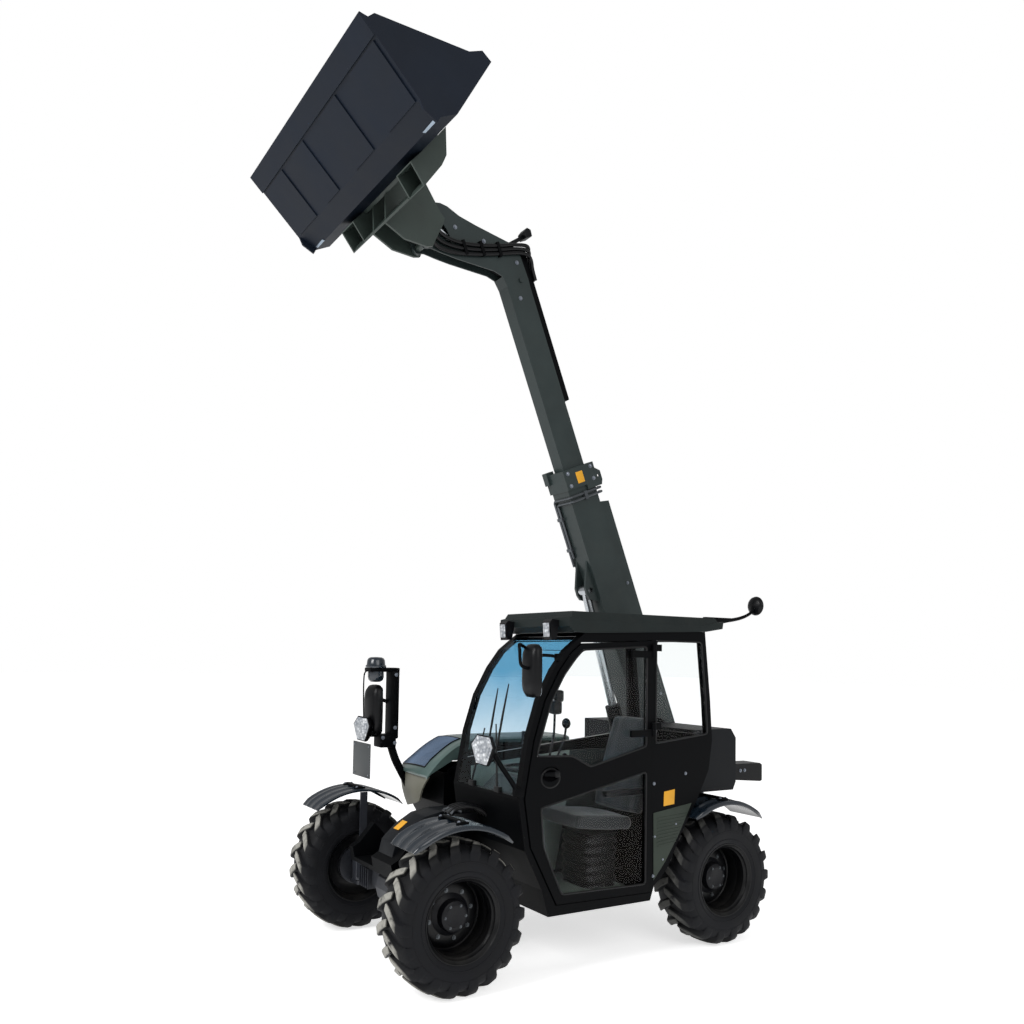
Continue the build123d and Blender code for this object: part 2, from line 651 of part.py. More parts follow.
# ---------------------------------------------------------------- lamps and mirrors
LAMP_FACE = [(-64, 30), (-30, 78), (46, 70), (64, 20), (30, -72), (-34, -62)]  # y, z from its centre
LAMP_Y = 690.0
LAMP_Z = 1245.0
with BuildPart() as front_lamps:
    for x, y in ((725, LAMP_Y), (812, -680)):
        with BuildSketch(Plane.YZ.offset(x)):
            with Locations((y, LAMP_Z)):
                Polygon(*LAMP_FACE, align=None)
        extrude(amount=-85, taper=18)
    with BuildSketch(side(LAMP_Y + 12)):
        Polygon((507, 985), (499, 1030), (520, 1030), (650, 1225), (672, 1200), (540, 985), align=None)
    extrude(amount=24)
    # right-hand arm, which also carries the beacon
    with BuildSketch(side(-630)):
        Polygon((430 + FIT, 800), (430 + FIT, 850), (560, 1000), (586, 1180), (586, 1630), (610, 1652),
                (700, 1652), (700, 1622), (618, 1622), (618, 1280), (740, 1280), (740, 1215), (615, 1215),
                (600, 980), (470, 800), align=None)
    extrude(amount=24)
    with BuildSketch(Plane.XY.offset(1640)):
        with Locations((700, -642)):
            Circle(52)
    extrude(amount=26)
    with BuildSketch(Plane.XY.offset(1666)):
        with Locations((700, -642)):
            Circle(46)
    extrude(amount=56, taper=8)
    # plain plate under the right-hand lamp
    with BuildSketch(side(-636)):
        Polygon((725, 1225), (806, 1180), (806, 950), (818, 950), (818, 1190), (755, 1245), (725, 1245),
                align=None)
    extrude(amount=12)
    with BuildSketch(Plane.YZ.offset(806)):
        with Locations((-650, 1052)):
            Rectangle(150, 210)
    extrude(amount=12)
save(front_lamps, "front_lamps")

with BuildPart() as roof_lamps:
    for y in (150, 600):
        with BuildSketch(side(y + 36)):
            Polygon((190 + FIT, 1960), (190 + FIT, 1926), (205, 1850), (240, 1846), (250, 1950), (235, 1964),
                    align=None)
        extrude(amount=72)
save(roof_lamps, "roof_lamps")

with BuildPart() as rear_lamps:
    for y in (470, -470):
        with BuildSketch(side(y + 70)):
            Polygon((-1345 - FIT, 1065), (-1345 - FIT, 960), (-1590, 940), (-1609, 946), (-1609, 1050),
                    (-1590, 1062), align=None)
        extrude(amount=140)
        with BuildSketch(side(y + 60)):
            Polygon((-1520, 952), (-1620, 950), (-1620, 1052), (-1520, 1054), align=None)
        extrude(amount=120, mode=Mode.SUBTRACT)
save(rear_lamps, "rear_lamps")

TUBE_R = 9.0


def tube(radius, bend, *points):
    """Round bar through the points, with the corners bent."""
    with BuildPart() as made:
        with BuildLine() as path:
            FilletPolyline(*points, radius=bend)
        with BuildSketch(Plane(origin=path.line @ 0, z_dir=path.line % 0)):
            RegularPolygon(radius, 8)
        sweep()
    return made.part


with BuildPart() as mirrors:
    # left mirror on a bent tube from the windscreen pillar
    with BuildSketch(side(715)):
        Polygon((243.8, 1735), (228.2, 1755), (290, 1765), (290, 1735), align=None)
    extrude(amount=20)
    add(tube(TUBE_R, 28, (275, 705, 1750), (400, 712, 1756), (556, 765, 1818), (556, 790, 1700),
             (480, 790, 1690)))
    with BuildSketch(Plane.YZ.offset(455)):
        with Locations((775, 1690)):
            RectangleRounded(125, 245, 26)
    extrude(amount=34)
    # right mirror beside the beacon
    with BuildSketch(Plane.YZ.offset(700)):
        with Locations((-720, 1425)):
            RectangleRounded(120, 190, 26)
    extrude(amount=34)
    with BuildSketch(side(-654 - FIT)):
        Polygon((588, 1395), (588, 1425), (716, 1445), (716, 1415), align=None)
    extrude(amount=30)
    # round mirror behind the roof
    add(tube(TUBE_R, 40, (-1000, 640, 1998.2), (-1150, 640, 2004.2), (-1363, 640, 2050), (-1420, 640, 2110)))
    with BuildSketch(Plane.YZ.offset(-1436)):
        with Locations((640, 2112)):
            RegularPolygon(62, 16)
    extrude(amount=26)
save(mirrors, "mirrors")

# ---------------------------------------------------------------- boom
SLOT_W = STRIP_W + 2 * RUN
CHANNEL_S = STRIP_START - TRAVEL - 30
with BuildPart() as outer_boom:
    with BuildSketch(boom(BOOM_Y + OUTER_W / 2)):
        Polygon((OUTER_TAIL, OUTER_LOW + 40), (OUTER_TAIL + 40, OUTER_LOW), (OUTER_END + 10, OUTER_LOW),
                (OUTER_END + 10, OUTER_TOP), (OUTER_TAIL, OUTER_TOP), align=None)
    extrude(amount=OUTER_W)
    # collar with the wear pads that guide the inner boom
    with BuildSketch(boom(BOOM_Y + OUTER_W / 2 + COLLAR_T)):
        Polygon((OUTER_END, OUTER_LOW - 8), (COLLAR_END, OUTER_LOW - 8), (COLLAR_END, OUTER_TOP + 22),
                (OUTER_END, OUTER_TOP + 22), align=None)
    extrude(amount=OUTER_W + 2 * COLLAR_T)
    # cover along the back
    with BuildSketch(boom(BOOM_Y + COVER_W / 2)):
        Polygon((OUTER_TAIL, OUTER_TOP), (OUTER_TAIL, COVER_TOP), (COVER_END - 20, COVER_TOP),
                (COVER_END, OUTER_TOP), align=None)
    extrude(amount=COVER_W)
    # bore of the tube, of the collar, and of the cover over the strip's slot
    with BuildSketch(boom(BOOM_Y + OUTER_W / 2 - BOOM_WALL)):
        Polygon((110, OUTER_LOW + BOOM_WALL), (OUTER_END, OUTER_LOW + BOOM_WALL),
                (OUTER_END, OUTER_TOP - BOOM_WALL), (110, OUTER_TOP - BOOM_WALL), align=None)
    extrude(amount=OUTER_W - 2 * BOOM_WALL, mode=Mode.SUBTRACT)
    with BuildSketch(boom(BOOM_Y + INNER_W / 2 + FIT)):
        Polygon((OUTER_END - 10, INNER_LOW - FIT), (COLLAR_END + 1, INNER_LOW - FIT),
                (COLLAR_END + 1, INNER_TOP + FIT), (OUTER_END - 10, INNER_TOP + FIT), align=None)
    extrude(amount=INNER_W + 2 * FIT, mode=Mode.SUBTRACT)
    with BuildSketch(boom(BOOM_Y + COVER_W / 2 - 12)):
        Polygon((CHANNEL_S, OUTER_TOP), (CHANNEL_S, COVER_TOP - 12), (COVER_END + 10, COVER_TOP - 12),
                (COVER_END + 10, OUTER_TOP), align=None)
    extrude(amount=COVER_W - 24, mode=Mode.SUBTRACT)
    with BuildSketch(boom(BOOM_Y + SLOT_W / 2)):
        Polygon((CHANNEL_S, 0), (CHANNEL_S, OUTER_TOP + 1), (OUTER_END - 1, OUTER_TOP + 1),
                (OUTER_END - 1, OUTER_TOP + 30), (COLLAR_END + 1, OUTER_TOP + 30), (COLLAR_END + 1, 0),
                align=None)
    extrude(amount=SLOT_W, mode=Mode.SUBTRACT)
    # lifting eye on the collar's left side
    with BuildSketch(boom(BOOM_Y + OUTER_W / 2 + COLLAR_T)):
        Polygon((1756, 50), (1756, 176), (1788, 192), (1850, 192), (COLLAR_END, 95), (COLLAR_END, 50),
                align=None)
        with Locations((EYE_S, EYE_UP)):
            Circle(EYE_R, mode=Mode.SUBTRACT)
    extrude(amount=COLLAR_T)
    # wear pad's block at the collar's lower right corner
    with BuildSketch(boom(BOOM_Y - OUTER_W / 2 + 30)):
        Polygon((1858, OUTER_LOW - 26), (1945, OUTER_LOW - 26), (1945, INNER_LOW - 6),
                (1858, INNER_LOW - 6), align=None)
    extrude(amount=30 + COLLAR_T)
    # lift cylinder's lug plates
    for y in (BOOM_Y + 60, BOOM_Y - 42):
        with BuildSketch(boom(y)):
            Polygon((LUG_S - 95, OUTER_LOW), (LUG_S - 55, LUG_T - 30), (LUG_S - 20, LUG_T - 42),
                    (LUG_S + 30, LUG_T - 40), (LUG_S + 200, OUTER_LOW), align=None)
        extrude(amount=18)
    with BuildSketch(boom(BOOM_Y + 60)):
        with Locations((LUG_S, LUG_T)):
            Circle(LUG_PIN_R)
    extrude(amount=120, mode=Mode.SUBTRACT)
    # boom pivot pin
    with BuildSketch(boom(BOOM_Y + TOWER_IN + TOWER_T)):
        Circle(PIVOT_PIN_R)
    extrude(amount=2 * (TOWER_IN + TOWER_T))
save(outer_boom, "boom_outer")

PIPE_R = 9.0
LEFT_FACE = BOOM_Y + OUTER_W / 2
STAND = 12.0  # pipe's middle from the boom's skin
with BuildPart() as pipes:
    for s, y, end in ((1742, BOOM_Y - 77, 1270), (1712, BOOM_Y - 51, 1330)):
        low = OUTER_LOW - STAND
        add(tube(PIPE_R, 20, boom_point(s, OUTER_TOP + 36, LEFT_FACE - 30),
                 boom_point(s, OUTER_TOP + 36, LEFT_FACE + STAND), boom_point(s, low, LEFT_FACE + STAND),
                 boom_point(s, low, y), boom_point(end, low, y)))
    with BuildSketch(boom(LEFT_FACE + STAND + PIPE_R + 2)):
        Polygon((1698, 0), (1754, 0), (1754, 26), (1698, 26), align=None)
    extrude(amount=STAND + PIPE_R + 2 - FIT)
    for s in (1380, 1600):
        with BuildSketch(boom(BOOM_Y - 38)):
            Polygon((s, OUTER_LOW - FIT), (s, OUTER_LOW - 24), (s + 22, OUTER_LOW - 24),
                    (s + 22, OUTER_LOW - FIT), align=None)
        extrude(amount=52)
save(pipes, "boom_pipes")

# The inner boom's swan neck: side plates under a closed back, open below from the bend on.
NECK_LOW = [(3180, INNER_LOW), (3250, -82), (3290, -130), (3410, -390), (3457, -480), (3500, -555)]
NECK_NOSE = [(3508, -606), (3540, -624), (3600, -630), (3640, -600), (3742, -505), (3777, -470)]
NECK_BACK = [(3759, -385), (3732, -340), (3663, -272), (3589, -167), (3441, 64), (3360, 110), (3200, 119)]
with BuildPart() as inner_boom:
    with BuildSketch(boom(BOOM_Y + INNER_W / 2)):
        Polygon((INNER_TAIL, INNER_TOP), (INNER_TAIL, INNER_LOW), *NECK_LOW, *NECK_NOSE, *NECK_BACK,
                (3150, INNER_TOP), align=None)
    extrude(amount=INNER_W)
    for y in (BOOM_Y + INNER_W / 2 + 20, BOOM_Y - INNER_W / 2):
        with BuildSketch(boom(y)):
            with Locations((NOSE_S, NOSE_T)):
                Circle(38)
        extrude(amount=20)
    with BuildSketch(boom(BOOM_Y + INNER_W / 2 - BOOM_WALL)):
        Polygon((INNER_TAIL - 1, INNER_TOP - BOOM_WALL), (INNER_TAIL - 1, INNER_LOW + BOOM_WALL),
                (3190, INNER_LOW + BOOM_WALL), (3240, -74), (3262, -100), (3262, -300), (3380, -700),
                (3900, -700), (3900, -470), (3768, -470), (3750, -388), (3725, -345), (3656, -278),
                (3582, -173), (3434, 57), (3356, 102), (3200, INNER_TOP - BOOM_WALL), align=None)
    extrude(amount=INNER_W - 2 * BOOM_WALL, mode=Mode.SUBTRACT)
    # hole for the nose pin, and the way of the tilt pin round it
    with BuildSketch(boom(BOOM_Y + INNER_W / 2 + 20)):
        with Locations((NOSE_S, NOSE_T)):
            Circle(NOSE_PIN_R + FIT)
    extrude(amount=INNER_W + 40, mode=Mode.SUBTRACT)
    with BuildSketch(boom(BOOM_Y + INNER_W / 2)):
        with Locations((NOSE_S, NOSE_T)):
            Circle(TILT_LEVER + TILT_PIN_R + RUN)
            Circle(TILT_LEVER - TILT_PIN_R - RUN, mode=Mode.SUBTRACT)
            Polygon((0, 0), (180, -300), (500, 0), (400, 400), (-110, 388), align=None, mode=Mode.INTERSECT)
    extrude(amount=INNER_W, mode=Mode.SUBTRACT)
    # slide pads at the tail
    with BuildSketch(Plane(origin=boom_point(INNER_TAIL, (OUTER_TOP + OUTER_LOW) / 2), x_dir=(0, 1, 0),
                           z_dir=ALONG)):
        Rectangle(OUTER_W - 2 * (BOOM_WALL + FIT), OUTER_TOP - OUTER_LOW - 2 * (BOOM_WALL + FIT))
        with Locations((0, (OUTER_TOP + OUTER_LOW - INNER_TOP - INNER_LOW) / 2)):
            Rectangle(INNER_W - 2 * BOOM_WALL, INNER_TOP - INNER_LOW - 2 * BOOM_WALL, mode=Mode.SUBTRACT)
    extrude(amount=60)
    # hose strip along the back, and the hose clamp above the neck
    for start, end, top in ((STRIP_START, STRIP_END, STRIP_TOP), (3337, 3388, 178)):
        with BuildSketch(boom(BOOM_Y + STRIP_W / 2)):
            Polygon((start, INNER_TOP - 6), (start + 8, top), (end, top), (end + 8, INNER_TOP - 12),
                    align=None)
        extrude(amount=STRIP_W)
    # work lamp on a bent arm
    with BuildSketch(boom(BOOM_Y + 20)):
        Polygon((3434, 60), (3462, 180), (3478, 214), (3490, 208), (3474, 170), (3452, 40), align=None)
    extrude(amount=12)
    with BuildSketch(boom(BOOM_Y + 48)):
        Polygon((3462, 206), (3466, 258), (3506, 262), (3520, 236), (3500, 204), align=None)
    extrude(amount=72)
    # tilt cylinder's foot pin
    with BuildSketch(boom(BOOM_Y + INNER_W / 2 + 10)):
        with Locations((TILT_BASE_S, TILT_BASE_T)):
            Circle(TILT_PIN_R)
    extrude(amount=INNER_W + 20)
save(inner_boom, "boom_inner")


# ---------------------------------------------------------------- cylinders
def cylinder_plane(foot, eye):
    """Plane at a cylinder's foot whose normal points along the cylinder to its eye."""
    return Plane(origin=foot, x_dir=(0, 1, 0), z_dir=eye - foot)


LIFT_FOOT = Vector(FOOT_X, BOOM_Y, FOOT_Z)
LIFT_EYE = boom_point(LUG_S, LUG_T)
TILT_FOOT = boom_point(TILT_BASE_S, TILT_BASE_T)
TILT_EYE = boom_point(TILT_EYE_S, TILT_EYE_T)
CYLINDERS = [  # name, foot, eye, barrel radius, rod radius, barrel length, rod inside, hole, eye width
    ("lift", LIFT_FOOT, LIFT_EYE, 52, 30, 860, 120, 22, 76),
    ("tilt", TILT_FOOT, TILT_EYE, 34, 18, 450, 250, 16, 56),
]
for name, foot, eye, barrel_r, rod_r, length, inside, hole, eye_wide in CYLINDERS:
    base = cylinder_plane(foot, eye)
    reach = (eye - foot).length
    with BuildPart() as barrel:
        with BuildSketch(base.offset(hole + 14)):
            Circle(barrel_r)
        extrude(amount=length - hole - 14)
        with BuildSketch(Plane(origin=foot, z_dir=(0, 1, 0)).offset(-barrel_r + 6)):
            Circle(hole + 20)
        extrude(amount=2 * (barrel_r - 6))
        with BuildSketch(Plane(origin=foot, z_dir=(0, 1, 0)).offset(-barrel_r)):
            Circle(hole + FIT)
        extrude(amount=2 * barrel_r, mode=Mode.SUBTRACT)
        with BuildSketch(base.offset(hole + 50)):
            Circle(rod_r + FIT)
        extrude(amount=length, mode=Mode.SUBTRACT)
    save(barrel, f"{name}_barrel")
    with BuildPart() as rod:
        with BuildSketch(base.offset(length - inside)):
            Circle(rod_r)
        extrude(amount=reach - length + inside)
        with BuildSketch(Plane(origin=eye, z_dir=(0, 1, 0)).offset(-eye_wide / 2)):
            Circle(rod_r + 6)
        extrude(amount=eye_wide)
    save(rod, f"{name}_rod")

# ---------------------------------------------------------------- coupler and bucket
# Bucket's outline from its tip round the floor, the heel and the back
TIP = Vector(1609, 0, 4841)
BEND = Vector(1268, 0, 4519)
HEEL = Vector(1150, 0, 4467)
BACK_LOW = Vector(1049, 0, 4518)
BACK_TOP = Vector(851, 0, 4867)
BUCKET_HALF = 860.0
SHEET = 14.0
FLOOR_DOWN = Vector(BEND.Z - TIP.Z, 0, TIP.X - BEND.X).normalized() * -1
BACK_OUT = Vector(BACK_LOW.Z - BACK_TOP.Z, 0, BACK_TOP.X - BACK_LOW.X).normalized()


def xz(point):
    """A world point's place in a side plane."""
    return (point.X, point.Z)


with BuildPart() as bucket:
    with BuildSketch(side(BUCKET_HALF)):
        Polygon(xz(BACK_TOP), (908, 4907), (987, 4873), (1528, 4864), (1562, 4833), xz(TIP), xz(BEND),
                (1245, 4475), (1165, 4436), xz(HEEL), xz(BACK_LOW), align=None)
    extrude(amount=2 * BUCKET_HALF)
    inside = BACK_TOP - BACK_OUT * SHEET
    low = BACK_LOW - BACK_OUT * SHEET
    floor_bend = BEND - FLOOR_DOWN * SHEET
    floor_tip = TIP - FLOOR_DOWN * SHEET
    with BuildSketch(side(BUCKET_HALF - SHEET)):
        Polygon(xz(inside), (900, 4950), (1700, 4950), (1640, 4851), xz(floor_tip), xz(floor_bend),
                (HEEL.X, HEEL.Z + 16), xz(low), align=None)
    extrude(amount=2 * (BUCKET_HALF - SHEET), mode=Mode.SUBTRACT)
    # underside between the side plates, whose lower edges stand below the floor
    with BuildSketch(side(BUCKET_HALF - SHEET)):
        Polygon(xz(BEND), xz(HEEL), (1160, 4400), (1300, 4450), align=None)
    extrude(amount=2 * (BUCKET_HALF - SHEET), mode=Mode.SUBTRACT)
    # cutting edge and wear plates under the floor
    along = (BEND - TIP).normalized()
    for first, last, thick, y_hi, y_lo in ((0, 120, 9, 860, -860), (130, 462, 8, 830, 530),
                                           (130, 462, 8, 340, 100), (130, 462, 8, -150, -335),
                                           (130, 462, 8, -515, -810)):
        lower = FLOOR_DOWN * thick
        with BuildSketch(side(y_hi)):
            Polygon(xz(TIP + along * first), xz(TIP + along * last), xz(TIP + along * last + lower),
                    xz(TIP + along * (first + 2) + lower), align=None)
        extrude(amount=y_hi - y_lo)
save(bucket, "bucket")

# Coupler: a frame plate behind the bucket with a box at each side, and two ears that take the
# boom's nose and the tilt rod's pin.
NOSE = boom_point(NOSE_S, NOSE_T)
EAR_IN = INNER_W / 2 + 20 + RUN
FRAME_HALF = 480.0
BOX_IN = 300.0
seat_low = BACK_LOW + BACK_OUT * FIT
seat_top = BACK_LOW + (BACK_TOP - BACK_LOW) * 0.7 + BACK_OUT * FIT
POCKET = [(905, 4700), (897, 4539), (925, 4473), (1031, 4324), (1120, 4436)]
with BuildPart() as coupler:
    with BuildSketch(side(FRAME_HALF)):
        Polygon(xz(seat_low), xz(seat_top), xz(seat_top + BACK_OUT * 22), xz(seat_low + BACK_OUT * 22),
                align=None)
    extrude(amount=2 * FRAME_HALF)
    for y in (FRAME_HALF, -BOX_IN):
        with BuildSketch(side(y)):
            Polygon(*POCKET, (1072, 4490), xz(seat_low), align=None)
        extrude(amount=FRAME_HALF - BOX_IN)
        with BuildSketch(side(y - PLATE)):
            Polygon((925, 4640), (911, 4543), (937, 4481), (1020, 4366), (1060, 4270), (1180, 4400),
                    (1098, 4440), (1040, 4490), align=None)
        extrude(amount=FRAME_HALF - BOX_IN - 2 * PLATE, mode=Mode.SUBTRACT)
    # cross plate between the boxes
    with BuildSketch(side(BOX_IN)):
        Polygon((945, 4445), (1031, 4324), (1042, 4332), (956, 4453), align=None)
    extrude(amount=2 * BOX_IN)
    for y in (BOOM_Y + EAR_IN + EAR_T, BOOM_Y - EAR_IN):
        with BuildSketch(side(y)):
            Polygon(
                (NOSE.X - 46, NOSE.Z + 6), (NOSE.X - 30, NOSE.Z - 36), (NOSE.X + 10, NOSE.Z - 46),
                (900, 4262), (1031, 4326), (1040, 4500), (880, 4740), (800, 4690),
                (TILT_EYE.X - 6, TILT_EYE.Z + 38), (TILT_EYE.X - 36, TILT_EYE.Z + 10),
                (TILT_EYE.X - 30, TILT_EYE.Z - 24), align=None,
            )
        extrude(amount=EAR_T)
    for pin, radius in ((NOSE, NOSE_PIN_R), (TILT_EYE, TILT_PIN_R)):
        with BuildSketch(side(BOOM_Y + EAR_IN + EAR_T)):
            with Locations(xz(pin)):
                Circle(radius)
        extrude(amount=2 * (EAR_IN + EAR_T))
    with BuildSketch(side(BOOM_Y + EAR_IN)):
        with Locations(xz(TILT_EYE)):
            Circle(TILT_PIN_R + 1)
    extrude(amount=2 * EAR_IN, mode=Mode.SUBTRACT)
save(coupler, "coupler")
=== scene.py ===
from math import cos, exp, pi, radians, sin

import bmesh
import bpy
from mathutils import Matrix, Vector


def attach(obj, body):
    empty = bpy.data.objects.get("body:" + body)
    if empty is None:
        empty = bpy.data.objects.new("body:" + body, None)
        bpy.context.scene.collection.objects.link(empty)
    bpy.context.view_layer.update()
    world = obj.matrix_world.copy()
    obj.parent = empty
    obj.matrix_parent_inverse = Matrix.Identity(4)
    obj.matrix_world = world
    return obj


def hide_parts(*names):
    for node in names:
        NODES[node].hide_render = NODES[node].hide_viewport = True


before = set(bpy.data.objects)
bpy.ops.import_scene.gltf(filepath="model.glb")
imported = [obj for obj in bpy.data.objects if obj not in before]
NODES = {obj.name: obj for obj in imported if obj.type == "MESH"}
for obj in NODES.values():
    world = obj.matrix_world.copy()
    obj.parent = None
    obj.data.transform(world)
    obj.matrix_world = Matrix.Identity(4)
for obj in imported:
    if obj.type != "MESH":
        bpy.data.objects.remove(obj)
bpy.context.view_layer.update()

WHEELS = ("front_left", "front_right", "rear_left", "rear_right")


# ---------------------------------------------------------------- shader helpers
def paint_colour(red, green, blue):
    """Colour on a 0 to 255 display scale as the linear colour that a shader takes."""

    def linear(value):
        value /= 255
        return value / 12.92 if value <= 0.04045 else ((value + 0.055) / 1.055) ** 2.4

    return (linear(red), linear(green), linear(blue), 1.0)


def node(tree, kind, inputs=None, **settings):
    """New node in a tree. inputs maps a socket's name or number to a value or to another socket."""
    made = tree.nodes.new(kind)
    for key, value in settings.items():
        setattr(made, key, value)
    for key, value in (inputs or {}).items():
        if isinstance(value, bpy.types.NodeSocket):
            tree.links.new(value, made.inputs[key])
        else:
            made.inputs[key].default_value = value
    return made


def maths(tree, operation, *values):
    """Output of a Math node."""
    return node(tree, "ShaderNodeMath", dict(enumerate(values)), operation=operation).outputs[0]


def spread(tree, value, low, high, out_low=0.0, out_high=1.0):
    """Output of a Map Range node that clamps."""
    inputs = {"Value": value, "From Min": low, "From Max": high, "To Min": out_low, "To Max": out_high}
    return node(tree, "ShaderNodeMapRange", inputs).outputs["Result"]


def mixed(tree, share, first, second):
    """Colour output of a Mix node."""
    made = node(tree, "ShaderNodeMix", data_type="RGBA")
    for socket, value in ((made.inputs[0], share), (made.inputs[6], first), (made.inputs[7], second)):
        if isinstance(value, bpy.types.NodeSocket):
            tree.links.new(value, socket)
        else:
            socket.default_value = value
    return made.outputs[2]


def noise(tree, where, scale, detail=4.0, rough=0.55):
    """Factor output of a Noise Texture."""
    inputs = {"Vector": where, "Scale": scale, "Detail": detail, "Roughness": rough}
    return node(tree, "ShaderNodeTexNoise", inputs).outputs["Fac"]


def effect(name, inputs, outputs):
    """Empty shader node group with float inputs (name, value) and outputs (name, kind)."""
    tree = bpy.data.node_groups.new(name, "ShaderNodeTree")
    for label, value in inputs:
        tree.interface.new_socket(label, in_out="INPUT", socket_type="NodeSocketFloat").default_value = value
    for label, kind in outputs:
        tree.interface.new_socket(label, in_out="OUTPUT", socket_type=kind)
    return tree, tree.nodes.new("NodeGroupInput"), tree.nodes.new("NodeGroupOutput")


FLOAT = "NodeSocketFloat"


def dust_effect():
    """Dust that gathers low on the machine and on faces that look up, broken into patches."""
    tree, given, result = effect(
        "dust", [("Amount", 0.4), ("Reach", 0.9), ("Patch Size", 6.0)], [("Mask", FLOAT)]
    )
    place = node(tree, "ShaderNodeTexCoord").outputs["Object"]
    height = node(tree, "ShaderNodeSeparateXYZ", {0: place}).outputs["Z"]
    facing = node(tree, "ShaderNodeSeparateXYZ", {0: node(tree, "ShaderNodeNewGeometry").outputs["Normal"]})
    low = maths(tree, "SUBTRACT", 1.0, maths(tree, "DIVIDE", height, given.outputs["Reach"]))
    low = maths(tree, "MAXIMUM", low, 0.12)
    up = spread(tree, facing.outputs["Z"], 0.2, 1.0, 0.35, 1.0)
    patch = spread(tree, noise(tree, place, given.outputs["Patch Size"], 6.0, 0.65), 0.38, 0.7)
    mask = maths(tree, "MULTIPLY", maths(tree, "MULTIPLY", low, up), patch)
    mask = maths(tree, "MULTIPLY", mask, given.outputs["Amount"])
    tree.links.new(node(tree, "ShaderNodeClamp", {0: mask}).outputs[0], result.inputs["Mask"])
    return tree


def grain_effect():
    """Fine surface grain: a height for bump, and a slow value that shades a colour a little."""
    tree, given, result = effect(
        "grain", [("Fine Scale", 900.0), ("Slow Scale", 5.0)], [("Height", FLOAT), ("Shade", FLOAT)]
    )
    place = node(tree, "ShaderNodeTexCoord").outputs["Object"]
    fine = noise(tree, place, given.outputs["Fine Scale"], 2.0, 0.5)
    slow = noise(tree, place, given.outputs["Slow Scale"], 3.0, 0.5)
    tree.links.new(fine, result.inputs["Height"])
    tree.links.new(spread(tree, slow, 0.3, 0.7), result.inputs["Shade"])
    return tree


def scuff_effect():
    """Thin scratches and rubbed spots."""
    tree, given, result = effect("scuff", [("Amount", 0.3), ("Scale", 30.0)], [("Mask", FLOAT)])
    place = node(tree, "ShaderNodeTexCoord").outputs["Object"]
    drawn_out = node(tree, "ShaderNodeMapping",
                     {"Vector": place, "Rotation": (0.5, 0.9, 0.3), "Scale": (1, 1, 14)})
    lines = spread(tree, noise(tree, drawn_out.outputs[0], given.outputs["Scale"], 5.0, 0.6), 0.66, 0.7)
    spots = spread(tree, noise(tree, place, 9.0, 5.0, 0.7), 0.55, 0.7)
    mask = maths(tree, "MULTIPLY", maths(tree, "MULTIPLY", lines, spots), given.outputs["Amount"])
    tree.links.new(mask, result.inputs["Mask"])
    return tree


DUST = dust_effect()
GRAIN = grain_effect()
SCUFF = scuff_effect()
DUST_COLOUR = paint_colour(176, 170, 158)
SHADE = 0.12  # how far a coat's colour drifts to either side


def place_effect(tree, group, **values):
    """The group as a node in a material, with its own values."""
    made = node(tree, "ShaderNodeGroup", node_tree=group)
    for label, value in values.items():
        made.inputs[label.replace("_", " ")].default_value = value
    return made.outputs


def blank_material(name, **constants):
    """Material with one Principled shader and the constants set on its own sockets."""
    made = bpy.data.materials.new(name)
    made.use_nodes = True
    shader = made.node_tree.nodes["Principled BSDF"]
    for label, value in constants.items():
        shader.inputs[label.replace("_", " ")].default_value = value
    return made, made.node_tree, shader


def dress(tree, shader, tone, roughness, strength, distance, height):
    """Join a colour, a roughness and a bump height to the shader."""
    tree.links.new(tone, shader.inputs["Base Color"])
    if roughness is not None:
        tree.links.new(roughness, shader.inputs["Roughness"])
    relief = node(tree, "ShaderNodeBump", {"Strength": strength, "Distance": distance, "Height": height})
    tree.links.new(relief.outputs["Normal"], shader.inputs["Normal"])


def coated(name, colour, rough, dust, scuffs, gloss, bump=0.15, fine=700.0, metal=0.0, coat=0.0, reach=1.0):
    """Painted, moulded or cast surface: a slow change of shade, fine grain, scuffs and dust."""
    made, tree, shader = blank_material(name, Metallic=metal, Coat_Weight=coat, Coat_Roughness=0.12,
                                        Specular_IOR_Level=gloss)
    base = paint_colour(*colour)
    deep = tuple(c * (1 - SHADE) for c in base[:3]) + (1.0,)
    light = tuple(min(1.0, c * (1 + SHADE)) for c in base[:3]) + (1.0,)
    grain = place_effect(tree, GRAIN, Fine_Scale=fine, Slow_Scale=4.0)
    tone = mixed(tree, grain["Shade"], deep, light)
    scuff = place_effect(tree, SCUFF, Amount=scuffs, Scale=26.0)["Mask"]
    tone = mixed(tree, scuff, tone, paint_colour(*[min(255, c + 60) for c in colour]))
    cover = place_effect(tree, DUST, Amount=dust, Reach=reach, Patch_Size=7.0)["Mask"]
    tone = mixed(tree, cover, tone, DUST_COLOUR)
    roughness = maths(tree, "ADD", spread(tree, grain["Shade"], 0, 1, rough - 0.04, rough + 0.05),
                      maths(tree, "MULTIPLY", cover, 0.5))
    roughness = node(tree, "ShaderNodeClamp", {0: roughness}).outputs[0]
    dress(tree, shader, tone, roughness, bump, 0.0006, grain["Height"])
    return made


def height_graded_glass(name, low_tint, high_sky_tint, low=0.4, high=1.9):
    """Clear glazing whose colour shifts with height; on the windscreen the blue towards the top is a painted
    sky reflection.
    """
    made, tree, shader = blank_material(name, Roughness=0.0, Metallic=0.0, Transmission_Weight=1.0, IOR=1.12)
    place = node(tree, "ShaderNodeTexCoord").outputs["Object"]
    height = node(tree, "ShaderNodeSeparateXYZ", {0: place}).outputs["Z"]
    height = maths(tree, "ADD", height, maths(tree, "MULTIPLY", noise(tree, place, 3.0, 2.0), 0.15))
    # colour runs from the low end to the high end with height: the high end is a painted sky reflection
    tone = mixed(tree, spread(tree, height, low, high), paint_colour(*low_tint), paint_colour(*high_sky_tint))
    tree.links.new(tone, shader.inputs["Base Color"])
    return made


